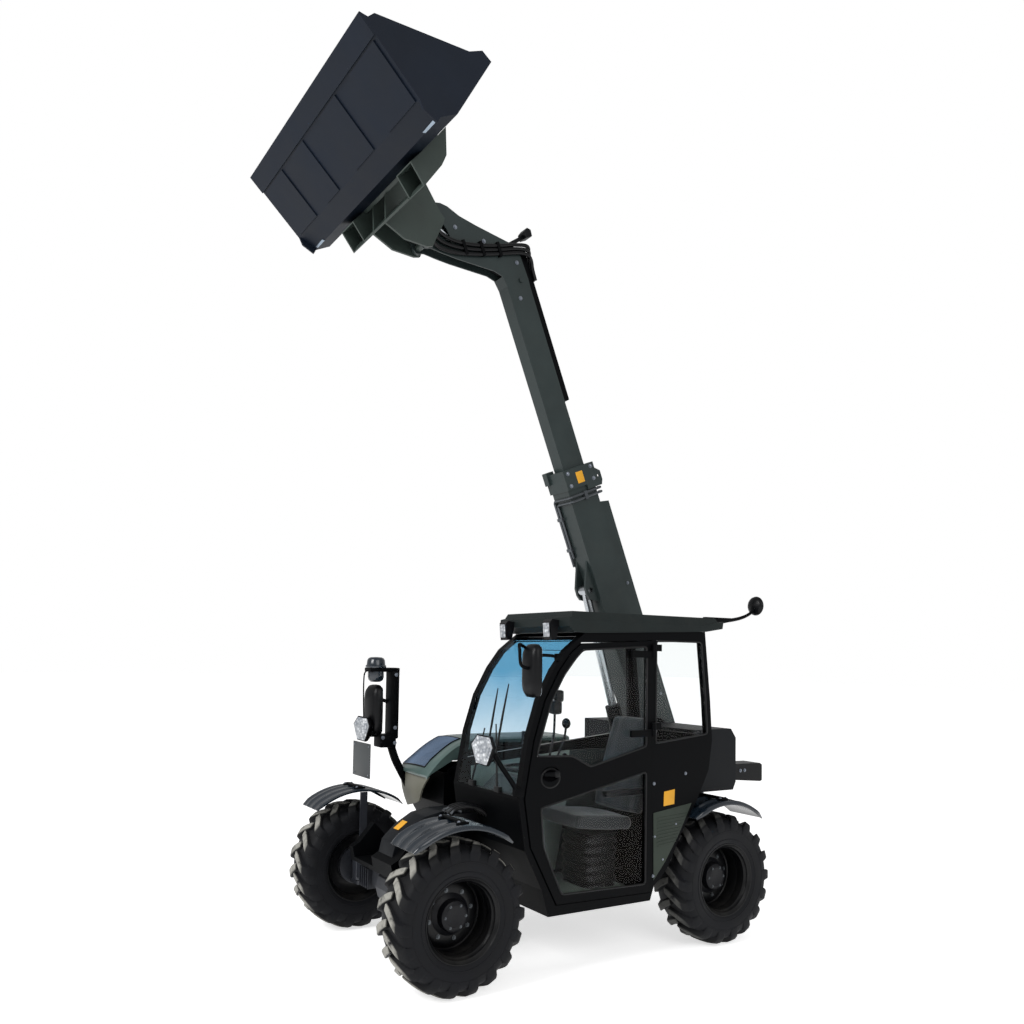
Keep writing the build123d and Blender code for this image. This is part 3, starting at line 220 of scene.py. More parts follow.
def lamp_glass():
    """Lamp lens over a cut reflector: cells that are brighter or dimmer at random as a painted reflection of
    the reflector's facets, with darker lines between them.
    """
    made, tree, shader = blank_material("lamp_lens", Roughness=0.12, Coat_Weight=0.6, Coat_Roughness=0.05)
    place = node(tree, "ShaderNodeTexCoord").outputs["Object"]
    cell = node(tree, "ShaderNodeTexVoronoi", {"Vector": place, "Scale": 60.0})
    # the brightness of each cell is a painted reflection of the reflector's facet behind it
    facet_reflection = spread(tree, noise(tree, cell.outputs["Position"], 300.0, 1.0), 0.35, 0.65)
    edge = spread(tree, cell.outputs["Distance"], 0.25, 0.6)
    tone = mixed(tree, facet_reflection, paint_colour(150, 156, 164), paint_colour(232, 235, 238))
    tone = mixed(tree, maths(tree, "MULTIPLY", edge, 0.6), tone, paint_colour(96, 102, 110))
    dress(tree, shader, tone, None, 0.4, 0.003, cell.outputs["Distance"])
    return made


def tyre_rubber(name, wear_and_highlight, pale):
    """Black rubber, paler on the tops of the lugs than in the grooves: partly wear and dust, partly a
    painted highlight.
    """
    made, tree, shader = blank_material(name, Metallic=0.0, Specular_IOR_Level=0.15)
    place = node(tree, "ShaderNodeTexCoord").outputs["Object"]
    part = node(tree, "ShaderNodeSeparateXYZ", {0: place}).outputs
    radius = maths(tree, "SQRT", maths(tree, "ADD", maths(tree, "MULTIPLY", part["X"], part["X"]),
                                       maths(tree, "MULTIPLY", part["Z"], part["Z"])))
    grain = place_effect(tree, GRAIN, Fine_Scale=350.0, Slow_Scale=9.0)
    tone = mixed(tree, grain["Shade"], paint_colour(13, 14, 17), paint_colour(21, 22, 26))
    patch = spread(tree, noise(tree, place, 11.0, 5.0, 0.65), 0.34, 0.52)
    # pale lug tops: partly wear and dust, partly a painted highlight standing in for light on the tread
    top = maths(tree, "MULTIPLY", spread(tree, radius, 0.384, 0.392), patch)
    tone = mixed(tree, maths(tree, "MULTIPLY", top, wear_and_highlight), tone, paint_colour(*pale))
    groove = maths(tree, "MULTIPLY", spread(tree, radius, 0.345, 0.372, 0.0, 0.4), patch)
    tone = mixed(tree, groove, tone, paint_colour(40, 40, 40))
    dress(tree, shader, tone, spread(tree, grain["Shade"], 0, 1, 0.5, 0.66), 0.3, 0.001, grain["Height"])
    return made


def seat_cloth():
    """Woven cloth with a fine rib."""
    made, tree, shader = blank_material("seat_cloth", Metallic=0.0, Sheen_Weight=0.3)
    place = node(tree, "ShaderNodeTexCoord").outputs["Object"]
    grain = place_effect(tree, GRAIN, Fine_Scale=900.0, Slow_Scale=12.0)
    rib = node(tree, "ShaderNodeTexWave", {"Vector": place, "Scale": 180.0, "Distortion": 0.4},
               wave_type="BANDS", bands_direction="Y").outputs["Fac"]
    tone = mixed(tree, grain["Shade"], paint_colour(20, 24, 26), paint_colour(28, 33, 36))
    tone = mixed(tree, maths(tree, "MULTIPLY", rib, 0.35), tone, paint_colour(16, 19, 21))
    height = maths(tree, "ADD", maths(tree, "MULTIPLY", rib, 0.6),
                   maths(tree, "MULTIPLY", grain["Height"], 0.4))
    dress(tree, shader, tone, spread(tree, grain["Shade"], 0, 1, 0.8, 0.92), 0.5, 0.0015, height)
    return made


COATS = (  # finish, its material, colour, roughness, dust, scuffs, gloss and what else it needs
    ("olive", "olive_paint", (40, 50, 50), 0.42, 0.06, 0.15, 0.3, dict(reach=6.0, coat=0.1)),
    ("roof_olive", "roof_paint", (26, 33, 33), 0.45, 0.03, 0.1, 0.16, dict(reach=6.0, coat=0.05)),
    ("coupler_olive", "coupler_paint", (52, 62, 58), 0.45, 0.05, 0.3, 0.3, dict(reach=8.0, coat=0.1)),
    ("black", "black_paint", (5, 6, 8), 0.5, 0.01, 0.05, 0.06, {}),
    ("cowl", "cowl_plastic", (17, 20, 24), 0.42, 0.03, 0.1, 0.13, {}),
    ("slate", "slate_paint", (16, 24, 36), 0.46, 0.02, 0.25, 0.16, dict(reach=9.0)),
    ("plastic", "black_plastic", (8, 9, 12), 0.36, 0.03, 0.08, 0.16, dict(coat=0.03)),
    ("gloss_plastic", "gloss_plastic", (18, 29, 39), 0.22, 0.02, 0.12, 0.5, dict(coat=0.4)),
    ("grey_plastic", "grey_plastic", (52, 58, 60), 0.55, 0.05, 0.1, 0.3, {}),
    ("grey_plate", "grey_plate", (62, 66, 68), 0.5, 0.1, 0.1, 0.3, {}),
    ("cast", "cast", (42, 45, 52), 0.4, 0.15, 0.25, 0.5, dict(bump=0.5, fine=260.0, metal=0.25)),
    ("rim", "rim_paint", (7, 8, 11), 0.36, 0.03, 0.25, 0.2, dict(bump=0.2, coat=0.03)),
    ("hub", "hub_paint", (14, 15, 20), 0.4, 0.03, 0.25, 0.2, dict(bump=0.35)),
    ("steel", "steel_rod", (170, 174, 178), 0.2, 0.05, 0.2, 0.3, dict(metal=0.95, reach=6.0)),
    ("pipe", "pipe_zinc", (84, 88, 92), 0.35, 0.05, 0.2, 0.3, dict(metal=0.7, reach=6.0)),
    ("bare_steel", "bare_steel", (150, 164, 178), 0.35, 0.1, 0.7, 0.3, dict(metal=0.6, reach=8.0)),
    ("bolt", "bolt_zinc", (132, 138, 148), 0.34, 0.03, 0.2, 0.3, dict(metal=0.6, reach=4.0)),
    ("mesh_steel", "mesh_steel", (104, 124, 150), 0.35, 0.02, 0.1, 0.5, dict(metal=0.3)),
    ("nose", "nose_paint", (126, 125, 112), 0.5, 0.05, 0.2, 0.2, {}),
    ("hood", "hood_paint", (82, 102, 99), 0.3, 0.03, 0.1, 0.4, dict(reach=6.0, coat=0.2)),
    ("mesh_back", "mesh_back", (38, 50, 70), 0.6, 0.02, 0.05, 0.1, {}),
    ("vent", "vent_paint", (52, 60, 53), 0.45, 0.05, 0.1, 0.2, {}),
    ("dim_lens", "dim_lens", (30, 33, 37), 0.2, 0.05, 0.1, 0.3, dict(coat=0.6)),
    ("red_lens", "red_lens", (96, 18, 18), 0.2, 0.1, 0.05, 0.3, dict(coat=0.6)),
    ("amber_lens", "amber_lens", (150, 74, 22), 0.2, 0.1, 0.05, 0.3, dict(coat=0.6)),
    ("yellow_plate", "yellow_plate", (232, 168, 44), 0.45, 0.04, 0.1, 0.3, dict(coat=0.1)),
    ("engine", "engine", (40, 42, 45), 0.5, 0.2, 0.25, 0.3, dict(metal=0.4)),
    # side lining: its own pale grey-green, lightened further as painted light in the shaded cab
    ("lining", "side_lining", (112, 124, 119), 0.5, 0.1, 0.2, 0.3, dict(bump=0.3, fine=500.0)),
    ("hose", "hose_rubber", (7, 8, 11), 0.34, 0.02, 0.1, 0.2, dict(bump=0.3, fine=400.0, coat=0.05)),
    ("rubber_trim", "trim_rubber", (11, 12, 14), 0.5, 0.05, 0.05, 0.3, dict(bump=0.2)),
    ("mirror", "mirror_glass", (170, 178, 186), 0.05, 0.02, 0.0, 0.3, dict(metal=1.0)),
    ("wall", "wall_lining", (40, 46, 46), 0.5, 0.05, 0.1, 0.2, dict(bump=0.3, fine=500.0)),
    # floor mat: its own grey-green, lightened as painted light and a painted pale reflection in the shaded
    # cab
    ("mat", "floor_mat", (84, 94, 88), 0.6, 0.1, 0.3, 0.2, dict(bump=0.4, fine=300.0)),
    # near-black with no sheen: painted shade that stands for the dark inside of a hollow
    ("painted_shade", "painted_shade_hollow", (3, 3, 4), 0.8, 0.0, 0.02, 0.02, {}),
)
FINISH = {
    finish: coated(name, colour, rough, dust=dust, scuffs=scuffs, gloss=gloss, **rest)
    for finish, name, colour, rough, dust, scuffs, gloss, rest in COATS
}
FINISH.update({
    "lens": lamp_glass(),
    "seat": seat_cloth(),
    "clear": height_graded_glass("clear_glass", (255, 255, 255), (252, 254, 254)),
    # the windscreen's blue top is a painted reflection of the sky, not a tint of the glass
    "screen_glass_painted_sky": height_graded_glass("screen_glass_painted_sky", (236, 246, 248), (92, 156, 192), 1.05, 1.75),
    # the front tyres' paler lug tops are a stronger painted highlight, as the front wheels stand in more
    # light; the rest is wear and dust
    "rubber": tyre_rubber("tyre_rubber", 0.7, (120, 120, 116)),
    "worn_highlit_rubber": tyre_rubber("worn_highlit_rubber", 0.95, (205, 203, 194)),
})

NODE_FINISH = {
    "chassis_frame": "black", "front_axle": "cast", "rear_axle": "cast", "engine_block": "engine",
    "engine_bay": "black", "engine_hood": "roof_olive", "rear_cowl": "cowl", "cab_frame": "black",
    "cab_roof": "roof_olive", "cab_glass": "clear", "windscreen": "screen_glass_painted_sky", "seat": "seat",
    "dashboard": "grey_plastic", "steering_wheel": "plastic", "front_lamps": "plastic",
    "roof_lamps": "plastic", "rear_lamps": "plastic", "mirrors": "plastic", "door_frame": "black",
    "door_glass": "clear", "boom_outer": "olive", "boom_pipes": "pipe", "boom_inner": "olive",
    "coupler": "coupler_olive", "bucket": "slate", "lift_barrel": "black", "lift_rod": "steel",
    "tilt_barrel": "black", "tilt_rod": "steel",
}
for wheel in WHEELS:
    NODE_FINISH[f"knuckle_{wheel}"] = "cast"
    NODE_FINISH[f"fender_{wheel}"] = "gloss_plastic"
    NODE_FINISH[f"rim_{wheel}"] = "rim"
    NODE_FINISH[f"tyre_{wheel}"] = "rubber"

for name, finish in NODE_FINISH.items():
    made = NODES[name]
    for number in range(len(made.data.materials)):
        made.data.materials[number] = FINISH[finish]


# ---------------------------------------------------------------- mesh helpers
def settle(name, form, finish, body, at=(0, 0, 0), angle=32, stands_for=()):
    """Make a piece of the machine from a bmesh: name it, paint it and let it move with a body."""
    bmesh.ops.recalc_face_normals(form, faces=form.faces)
    mesh = bpy.data.meshes.new(name)
    form.to_mesh(mesh)
    form.free()
    for face in mesh.polygons:
        face.use_smooth = True
    mesh.set_sharp_from_angle(angle=radians(angle))
    mesh.materials.append(FINISH[finish])
    piece = bpy.data.objects.new(name, mesh)
    piece.location = at
    bpy.context.collection.objects.link(piece)
    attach(piece, body)
    if stands_for:
        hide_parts(*stands_for)
    return piece


def grid_faces(form, rows, wrap_row=False, wrap_column=False):
    """Faces between rows of vertices that all have the same number of places."""
    for r in range(len(rows) - (0 if wrap_row else 1)):
        here, there = rows[r], rows[(r + 1) % len(rows)]
        for c in range(len(here) - (0 if wrap_column else 1)):
            d = (c + 1) % len(here)
            form.faces.new((here[c], here[d], there[d], there[c]))


def capped(form, rows, **wraps):
    """Skin over rows of vertices, with a face over the first row and the last."""
    grid_faces(form, rows, **wraps)
    form.faces.new(rows[0])
    form.faces.new(list(reversed(rows[-1])))


def lathe(form, profile, turns=72, closed=True):
    """Turn a profile of (place along Y, radius) once round the Y axis."""
    rows = []
    for i in range(turns):
        a = 2 * pi * i / turns
        rows.append([form.verts.new((r * sin(a), p, r * cos(a))) for p, r in profile])
    grid_faces(form, rows, wrap_row=True, wrap_column=closed)


def tube_along(form, points, radius, flats=10, caps=True, turn_start=None):
    """Round bar that follows the points."""
    points = [Vector(p) for p in points]
    rows = []
    across = turn_start or Vector((0.0, 0.0, 1.0))
    for i, point in enumerate(points):
        ahead = (points[min(i + 1, len(points) - 1)] - points[max(i - 1, 0)]).normalized()
        across = across - ahead * across.dot(ahead)
        if across.length < 0.05:
            across = ahead.orthogonal()
        across.normalize()
        other = ahead.cross(across)
        wide = radius(i / (len(points) - 1)) if callable(radius) else radius
        rows.append([form.verts.new(point + (across * cos(a) + other * sin(a)) * wide)
                     for a in (2 * pi * k / flats for k in range(flats))])
    grid_faces(form, rows, wrap_column=True)
    if caps:
        form.faces.new(rows[0])
        form.faces.new(list(reversed(rows[-1])))


def smooth_line(points, steps=6):
    """Points of a curve that runs smoothly through the given ones."""
    points = [Vector(p) for p in points]
    line = []
    for i in range(len(points) - 1):
        a, b = points[max(i - 1, 0)], points[i]
        c, d = points[i + 1], points[min(i + 2, len(points) - 1)]
        for k in range(steps):
            t = k / steps
            line.append(0.5 * ((2 * b) + (c - a) * t + (2 * a - 5 * b + 4 * c - d) * t * t
                               + (3 * b - a - 3 * c + d) * t ** 3))
    line.append(points[-1])
    return line


def slab(form, outline, depth, edge=0.0):
    """Plate between an outline and the same outline moved by depth, with its edges rounded off."""
    depth = Vector(depth)
    low = [form.verts.new(Vector(p)) for p in outline]
    high = [form.verts.new(Vector(p) + depth) for p in outline]
    faces = [form.faces.new(low), form.faces.new(list(reversed(high)))]
    for i in range(len(low)):
        j = (i + 1) % len(low)
        faces.append(form.faces.new((low[i], high[i], high[j], low[j])))
    if edge:
        edges = list(dict.fromkeys(e for f in faces for e in f.edges))
        bmesh.ops.bevel(form, geom=edges, offset=edge, segments=2, profile=0.6, affect="EDGES")


def block(form, low, high, edge=0.004):
    """Box with rounded edges between two corners."""
    (x0, y0, z0), (x1, y1, z1) = low, high
    slab(form, [(x0, y0, z0), (x1, y0, z0), (x1, y1, z0), (x0, y1, z0)], (0, 0, z1 - z0), edge)


def hex_bolt(form, place, outward, radius):
    """Hexagon bolt head on its washer at place, standing outward."""
    outward = Vector(outward).normalized()
    across = outward.orthogonal().normalized()
    other = outward.cross(across)
    place = Vector(place)
    for sides, wide, start, stop in ((12, 1.45, 0.0, 0.25), (6, 1.0, 0.25, 0.85), (6, 0.8, 0.85, 1.0)):
        rows = []
        for level, size in ((start, wide), (stop, wide if stop < 1 else 0.7)):
            rows.append([form.verts.new(place + outward * level * radius
                                        + (across * cos(a) + other * sin(a)) * radius * size)
                         for a in (2 * pi * k / sides for k in range(sides))])
        grid_faces(form, rows, wrap_column=True)
        form.faces.new(list(reversed(rows[1])))


def mm(*values):
    """Millimetres as a point in metres."""
    return tuple(value / 1000 for value in values)


# Boom frame: s runs along the boom from its pivot, t towards its back, both in metres.
PIVOT = Vector((-1.153, -0.100, 1.250))
LIFT = radians(67.5)  # how steeply the boom stands at rest
ALONG = Vector((cos(LIFT), 0, sin(LIFT)))
BACK = Vector((-sin(LIFT), 0, cos(LIFT)))
BOOM_Y = -100  # the boom's middle plane, in millimetres
COLLAR_HALF = 101  # half the width over the boom's collar
STRIP_HALF = 55  # half the width of the boom's cover strip


def boom(s, t, y):
    """World position of a point given along and across the boom, in millimetres."""
    return PIVOT + ALONG * s / 1000 + BACK * t / 1000 + Vector((0, y / 1000 - PIVOT.y, 0))


def turned(degrees, axis):
    """Turn about an axis through the origin, as a matrix."""
    return Matrix.Rotation(radians(degrees), 4, axis)


def moved(form, matrix):
    """Move everything that is in a form so far."""
    bmesh.ops.transform(form, matrix=matrix, verts=form.verts)


def side(y, *points):
    """Points (along, up) in millimetres on the upright plane at y."""
    return [mm(x, y, z) for x, z in points]


def boom_side(y, *points):
    """Points (s, t) in millimetres on the boom's plane at y."""
    return [boom(s, t, y) for s, t in points]


def curve(*points):
    """Smooth line through points in millimetres."""
    return smooth_line([mm(*point) for point in points])


def rounded_ring(count, power):
    """Points round a square with rounded corners, from -1 to 1 across and up."""
    ring = []
    for k in range(count):
        a = 2 * pi * k / count
        ring.append([abs(c) ** power * (1 if c > 0 else -1) for c in (cos(a), sin(a))])
    return ring


# ---------------------------------------------------------------- wheels
WHEEL_PLACES = {
    "front_left": (0.865, 0.646, 1), "front_right": (0.865, -0.646, -1),
    "rear_left": (-1.025, 0.646, 1), "rear_right": (-1.025, -0.646, -1),
}
TYRE_R = 0.395
CARCASS = [  # place across the tyre and radius, from one bead round the tread to the other
    (-0.100, 0.208), (-0.116, 0.214), (-0.123, 0.226), (-0.128, 0.240), (-0.131, 0.262), (-0.1335, 0.288),
    (-0.1325, 0.312), (-0.127, 0.334), (-0.114, 0.351), (-0.094, 0.361), (-0.060, 0.3665), (-0.020, 0.369),
    (0.020, 0.369), (0.060, 0.3665), (0.094, 0.361), (0.114, 0.351), (0.127, 0.334), (0.1325, 0.312),
    (0.1335, 0.288), (0.131, 0.262), (0.128, 0.240), (0.123, 0.226), (0.116, 0.214), (0.100, 0.208),
]
LUG_LINE = [  # place across the tyre, radius of the lug's top, turn in degrees, half its width
    (-0.016, 0.3930, -2.6, 0.018), (0.006, 0.3945, -1.2, 0.0205), (0.030, 0.3950, 0.6, 0.0215),
    (0.054, 0.3945, 2.8, 0.0225), (0.078, 0.3930, 5.4, 0.024), (0.100, 0.3890, 7.8, 0.0255),
    (0.117, 0.3790, 9.4, 0.0265), (0.1275, 0.3630, 10.2, 0.026), (0.1325, 0.3430, 10.6, 0.024),
    (0.1340, 0.3240, 10.8, 0.019),
]


def tread_bar(form, start, hand):
    """One lug: it starts beside the middle, sweeps out to the shoulder and runs down the side."""
    rows = []
    for place, top, turn, half in LUG_LINE:
        root = top - 0.034 if place < 0.12 else top - 0.020
        cross = []
        for step, radius in ((-1.35, root), (-1.0, top - 0.003), (-0.8, top), (0.8, top), (1.0, top - 0.003),
                             (1.35, root)):
            a = radians(start + turn) + step * half / top
            cross.append(form.verts.new((radius * sin(a), hand * place, radius * cos(a))))
        rows.append(cross)
    capped(form, rows)


def build_tyre(wheel):
    """Cleated tyre: rounded carcass with rings on its sides and swept lugs in two hands."""
    x, y, _ = WHEEL_PLACES[wheel]
    form = bmesh.new()
    lathe(form, CARCASS, turns=96)
    for place, radius in ((0.1305, 0.2485), (0.1335, 0.300)):
        for end in (1, -1):
            lathe(form, [(end * (place - 0.003), radius - 0.004), (end * (place + 0.0008), radius - 0.002),
                         (end * (place + 0.0008), radius + 0.002), (end * (place - 0.003), radius + 0.004)],
                  turns=96)
    for i in range(18):
        tread_bar(form, 20 * i, 1)
        tread_bar(form, 20 * i + 10, -1)
    # front tyres take the rubber with the stronger painted highlight on the lug tops
    settle(f"tyre_tread_{wheel}", form, "worn_highlit_rubber" if x > 0 else "rubber", f"wheel_{wheel}",
           (x, y, TYRE_R), 28, (f"tyre_{wheel}",))


RIM = [  # place outwards from the wheel's middle and radius, round the rim's section
    (0.1235, 0.2205), (0.1175, 0.2215), (0.1115, 0.2170), (0.1035, 0.2070), (0.0600, 0.2068),
    (-0.0600, 0.2068), (-0.1035, 0.2070), (-0.1115, 0.2170), (-0.1175, 0.2215), (-0.1235, 0.2205),
    (-0.1235, 0.2165), (-0.1130, 0.2110), (-0.1040, 0.2000), (-0.0900, 0.1910), (-0.0680, 0.1890),
    (-0.0480, 0.1550), (-0.0460, 0.1190), (-0.0460, 0.0500), (-0.0230, 0.0500), (-0.0225, 0.1180),
    (-0.0220, 0.1480), (-0.0300, 0.1660), (-0.0440, 0.1800), (-0.0380, 0.1855), (0.0000, 0.1860),
    (0.0300, 0.1870), (0.0360, 0.1895), (0.0420, 0.1870), (0.0720, 0.1880), (0.0860, 0.1900),
    (0.0960, 0.1990), (0.1060, 0.2010), (0.1150, 0.2110), (0.1230, 0.2160),
]
HUB = [(-0.024, 0.0001), (-0.024, 0.1080), (-0.0200, 0.1100), (-0.0120, 0.0960), (-0.0060, 0.0860),
       (0.0200, 0.0830), (0.0310, 0.0790), (0.0370, 0.0690), (0.0385, 0.0560), (0.0370, 0.0530),
       (0.0370, 0.0001)]


def build_rim(wheel):
    """Deep steel rim with a drop in its barrel, and the hub with its ring of wheel nuts."""
    x, y, hand = WHEEL_PLACES[wheel]
    form = bmesh.new()
    lathe(form, [(hand * p, r) for p, r in RIM], turns=96)
    settle(f"rim_steel_{wheel}", form, "rim", f"wheel_{wheel}", (x, y, TYRE_R), 32, (f"rim_{wheel}",))
    form = bmesh.new()
    lathe(form, [(hand * p, r) for p, r in HUB], turns=64, closed=False)
    settle(f"hub_{wheel}", form, "hub", f"wheel_{wheel}", (x, y, TYRE_R), 30)
    form = bmesh.new()
    for i in range(8):
        a = radians(45 * i + 12)
        hex_bolt(form, (0.128 * sin(a), hand * -0.0215, 0.128 * cos(a)), (0, hand, 0), 0.0085)
    for i in range(6):
        a = radians(60 * i + 30)
        hex_bolt(form, (0.062 * sin(a), hand * 0.0375, 0.062 * cos(a)), (0, hand, 0), 0.0055)
    settle(f"wheel_nuts_{wheel}", form, "pipe", f"wheel_{wheel}", (x, y, TYRE_R))


FENDER_R = 0.473  # the lower face's radius round the wheel
FENDER_MIDDLE = 0.644  # outwards, the line that the ends draw in towards
FENDER_SPAN = {1: (39, -38), -1: (34, -41)}  # degrees from the top, for the front pair and the rear pair
FENDER_SECTION = [  # place outwards and height over the fender's lower face
    (0.500, 0.000), (0.500, 0.010), (0.507, 0.0125), (0.514, 0.0165), (0.523, 0.0165), (0.532, 0.0100),
    (0.590, 0.0080), (0.600, 0.0150), (0.606, 0.0168), (0.616, 0.0160), (0.626, 0.0095), (0.682, 0.0080),
    (0.692, 0.0150), (0.698, 0.0165), (0.708, 0.0160), (0.718, 0.0090), (0.750, 0.0080), (0.760, 0.0140),
    (0.772, 0.0150), (0.784, 0.0110), (0.788, 0.0040), (0.788, -0.0120), (0.784, -0.0130), (0.780, -0.0020),
    (0.774, 0.0000),
]


def build_fender(wheel, body):
    """Ribbed mudguard, drawn in towards its ends."""
    x, _, hand = WHEEL_PLACES[wheel]
    front = 1 if x > 0 else -1
    start, stop = FENDER_SPAN[front]
    form = bmesh.new()
    rows = []
    steps = 26
    for i in range(steps + 1):
        share = i / steps
        a = radians(start + (stop - start) * share)
        ends = min(share, 1 - share) * steps
        tuck = 1.0 - 0.5 * max(0.0, 1 - ends / 2.0)
        row = []
        for place, height in FENDER_SECTION:
            narrow = FENDER_MIDDLE + (place - FENDER_MIDDLE) * (1 - 0.10 * max(0.0, 1 - ends / 2.5))
            radius = FENDER_R + height * tuck
            row.append(form.verts.new((radius * sin(a), hand * narrow, radius * cos(a))))
        rows.append(row)
    capped(form, rows, wrap_column=True)
    settle(f"mudguard_{wheel}", form, "gloss_plastic", body, (x, 0, TYRE_R), 40, (f"fender_{wheel}",))
    form = bmesh.new()
    for place in (0.545, 0.735):
        block(form, (-0.030, min(hand * (place - 0.016), hand * (place + 0.016)), 0.480),
              (0.030, max(hand * (place - 0.016), hand * (place + 0.016)), 0.497), 0.004)
    block(form, (-0.016, min(hand * 0.530, hand * 0.750), 0.488),
          (0.016, max(hand * 0.530, hand * 0.750), 0.502), 0.005)
    settle(f"mudguard_clamp_{wheel}", form, "black", body, (x, 0, TYRE_R))
    form = bmesh.new()
    for place in (0.545, 0.735):
        hex_bolt(form, (0.022, hand * place, 0.496), (0, 0, 1), 0.007)
        hex_bolt(form, (-0.022, hand * place, 0.496), (0, 0, 1), 0.007)
    settle(f"mudguard_bolts_{wheel}", form, "bolt", body, (x, 0, TYRE_R))


for wheel in WHEELS:
    build_tyre(wheel)
    build_rim(wheel)
    build_fender(wheel, f"steer_{wheel}" if wheel.startswith("front") else "chassis")


# ---------------------------------------------------------------- cab
DOOR_PANES = (
    [(-400, 1232), (20, 1130), (149, 1195), (395, 1205), (370, 1296), (305, 1500), (215, 1652),
     (135, 1745), (80, 1795), (-400, 1822)],
    [(-400, 430), (215, 440), (345, 715), (364, 925), (-400, 1085)],
)
QUARTER_WINDOW = [(-475, 1245), (-905, 1290), (-890, 1501), (-850, 1860), (-475, 1860)]


def pane_seal(form, outline, y, thick):
    """Rubber bead round a pane, with rounded corners."""
    middle = Vector((sum(x for x, z in outline) / len(outline), sum(z for x, z in outline) / len(outline)))
    line = []
    for i, (x, z) in enumerate(outline):
        here = Vector((x, z))
        here += (middle - here).normalized() * 3
        before = Vector(outline[i - 1])
        after = Vector(outline[(i + 1) % len(outline)])
        reach = min(22.0, (before - here).length / 3, (after - here).length / 3)
        a = here + (before - here).normalized() * reach
        b = here + (after - here).normalized() * reach
        for k in range(5):
            t = k / 4
            spot = a * (1 - t) ** 2 + here * 2 * t * (1 - t) + b * t * t
            line.append(mm(spot.x, y, spot.y))
    line.append(line[0])
    tube_along(form, line, thick / 1000, flats=8, turn_start=Vector((0, 1, 0)))


def build_cab_trim():
    """Pane seals, the door's latch, the wipers and the small fittings round the cab."""
    form = bmesh.new()
    for pane in DOOR_PANES:
        pane_seal(form, pane, 724, 5.5)
    settle("door_seals", form, "rubber_trim", "door")
    form = bmesh.new()
    pane_seal(form, QUARTER_WINDOW, 719, 5.5)
    settle("quarter_window_seal", form, "rubber_trim", "chassis")
    form = bmesh.new()
    lathe(form, [(0, 0.0001), (0, 0.018), (0.004, 0.020), (0.012, 0.019), (0.014, 0.012), (0.014, 0.0001)],
          turns=32, closed=False)
    settle("door_lock", form, "plastic", "door", mm(262, 726, 1105), 30)
    form = bmesh.new()
    slab(form, side(728, (278, 1092), (350, 1098), (352, 1116), (278, 1118)), mm(0, 12, 0), 0.005)
    settle("door_latch_lever", form, "black", "door")
    form = bmesh.new()
    lathe(form, [(0.0, 0.046), (0.004, 0.050), (0.007, 0.054), (0.004, 0.060), (0.0, 0.061)], turns=40)
    moved(form, Matrix.Diagonal((1.12, 1, 0.92, 1)))
    settle("door_cup_rim", form, "plastic", "door", mm(300, 722.5, 1082), 40)
    form = bmesh.new()
    # the black disc in the cup is painted shade standing for the dark inside of the handle's recess
    lathe(form, [(0.0, 0.0001), (0.0, 0.048), (0.002, 0.047), (0.002, 0.0001)], turns=40, closed=False)
    moved(form, Matrix.Diagonal((1.12, 1, 0.92, 1)))
    settle("door_cup", form, "painted_shade", "door", mm(300, 722.5, 1082), 40)
    # wipers: an arm and a blade each
    form = bmesh.new()
    for foot, tip, low, high in (((500, 250, 1012), (452, 330, 1330), (448, 330, 1120), (378, 340, 1560)),
                                 ((500, 520, 1012), (440, 430, 1360), (452, 430, 1140), (370, 440, 1590))):
        start, stop = Vector(mm(*foot)) + Vector((0.016, 0, 0)), Vector(mm(*tip)) + Vector((0.030, 0, 0))
        tube_along(form, [start.lerp(stop, k / 6) for k in range(7)], lambda u: 0.007 - 0.003 * u, flats=8)
        start, stop = Vector(mm(*low)) + Vector((0.022, 0, 0)), Vector(mm(*high)) + Vector((0.024, 0, 0))
        tube_along(form, smooth_line([start, start.lerp(stop, 0.5) + Vector((0.004, 0, 0)), stop], 5),
                   lambda u: 0.003 + 0.004 * sin(pi * u), flats=8)
        block(form, mm(foot[0] - 6, foot[1] - 24, foot[2] - 22),
              mm(foot[0] + 24, foot[1] + 24, foot[2] + 10), 0.006)
    settle("wipers", form, "rubber_trim", "chassis")


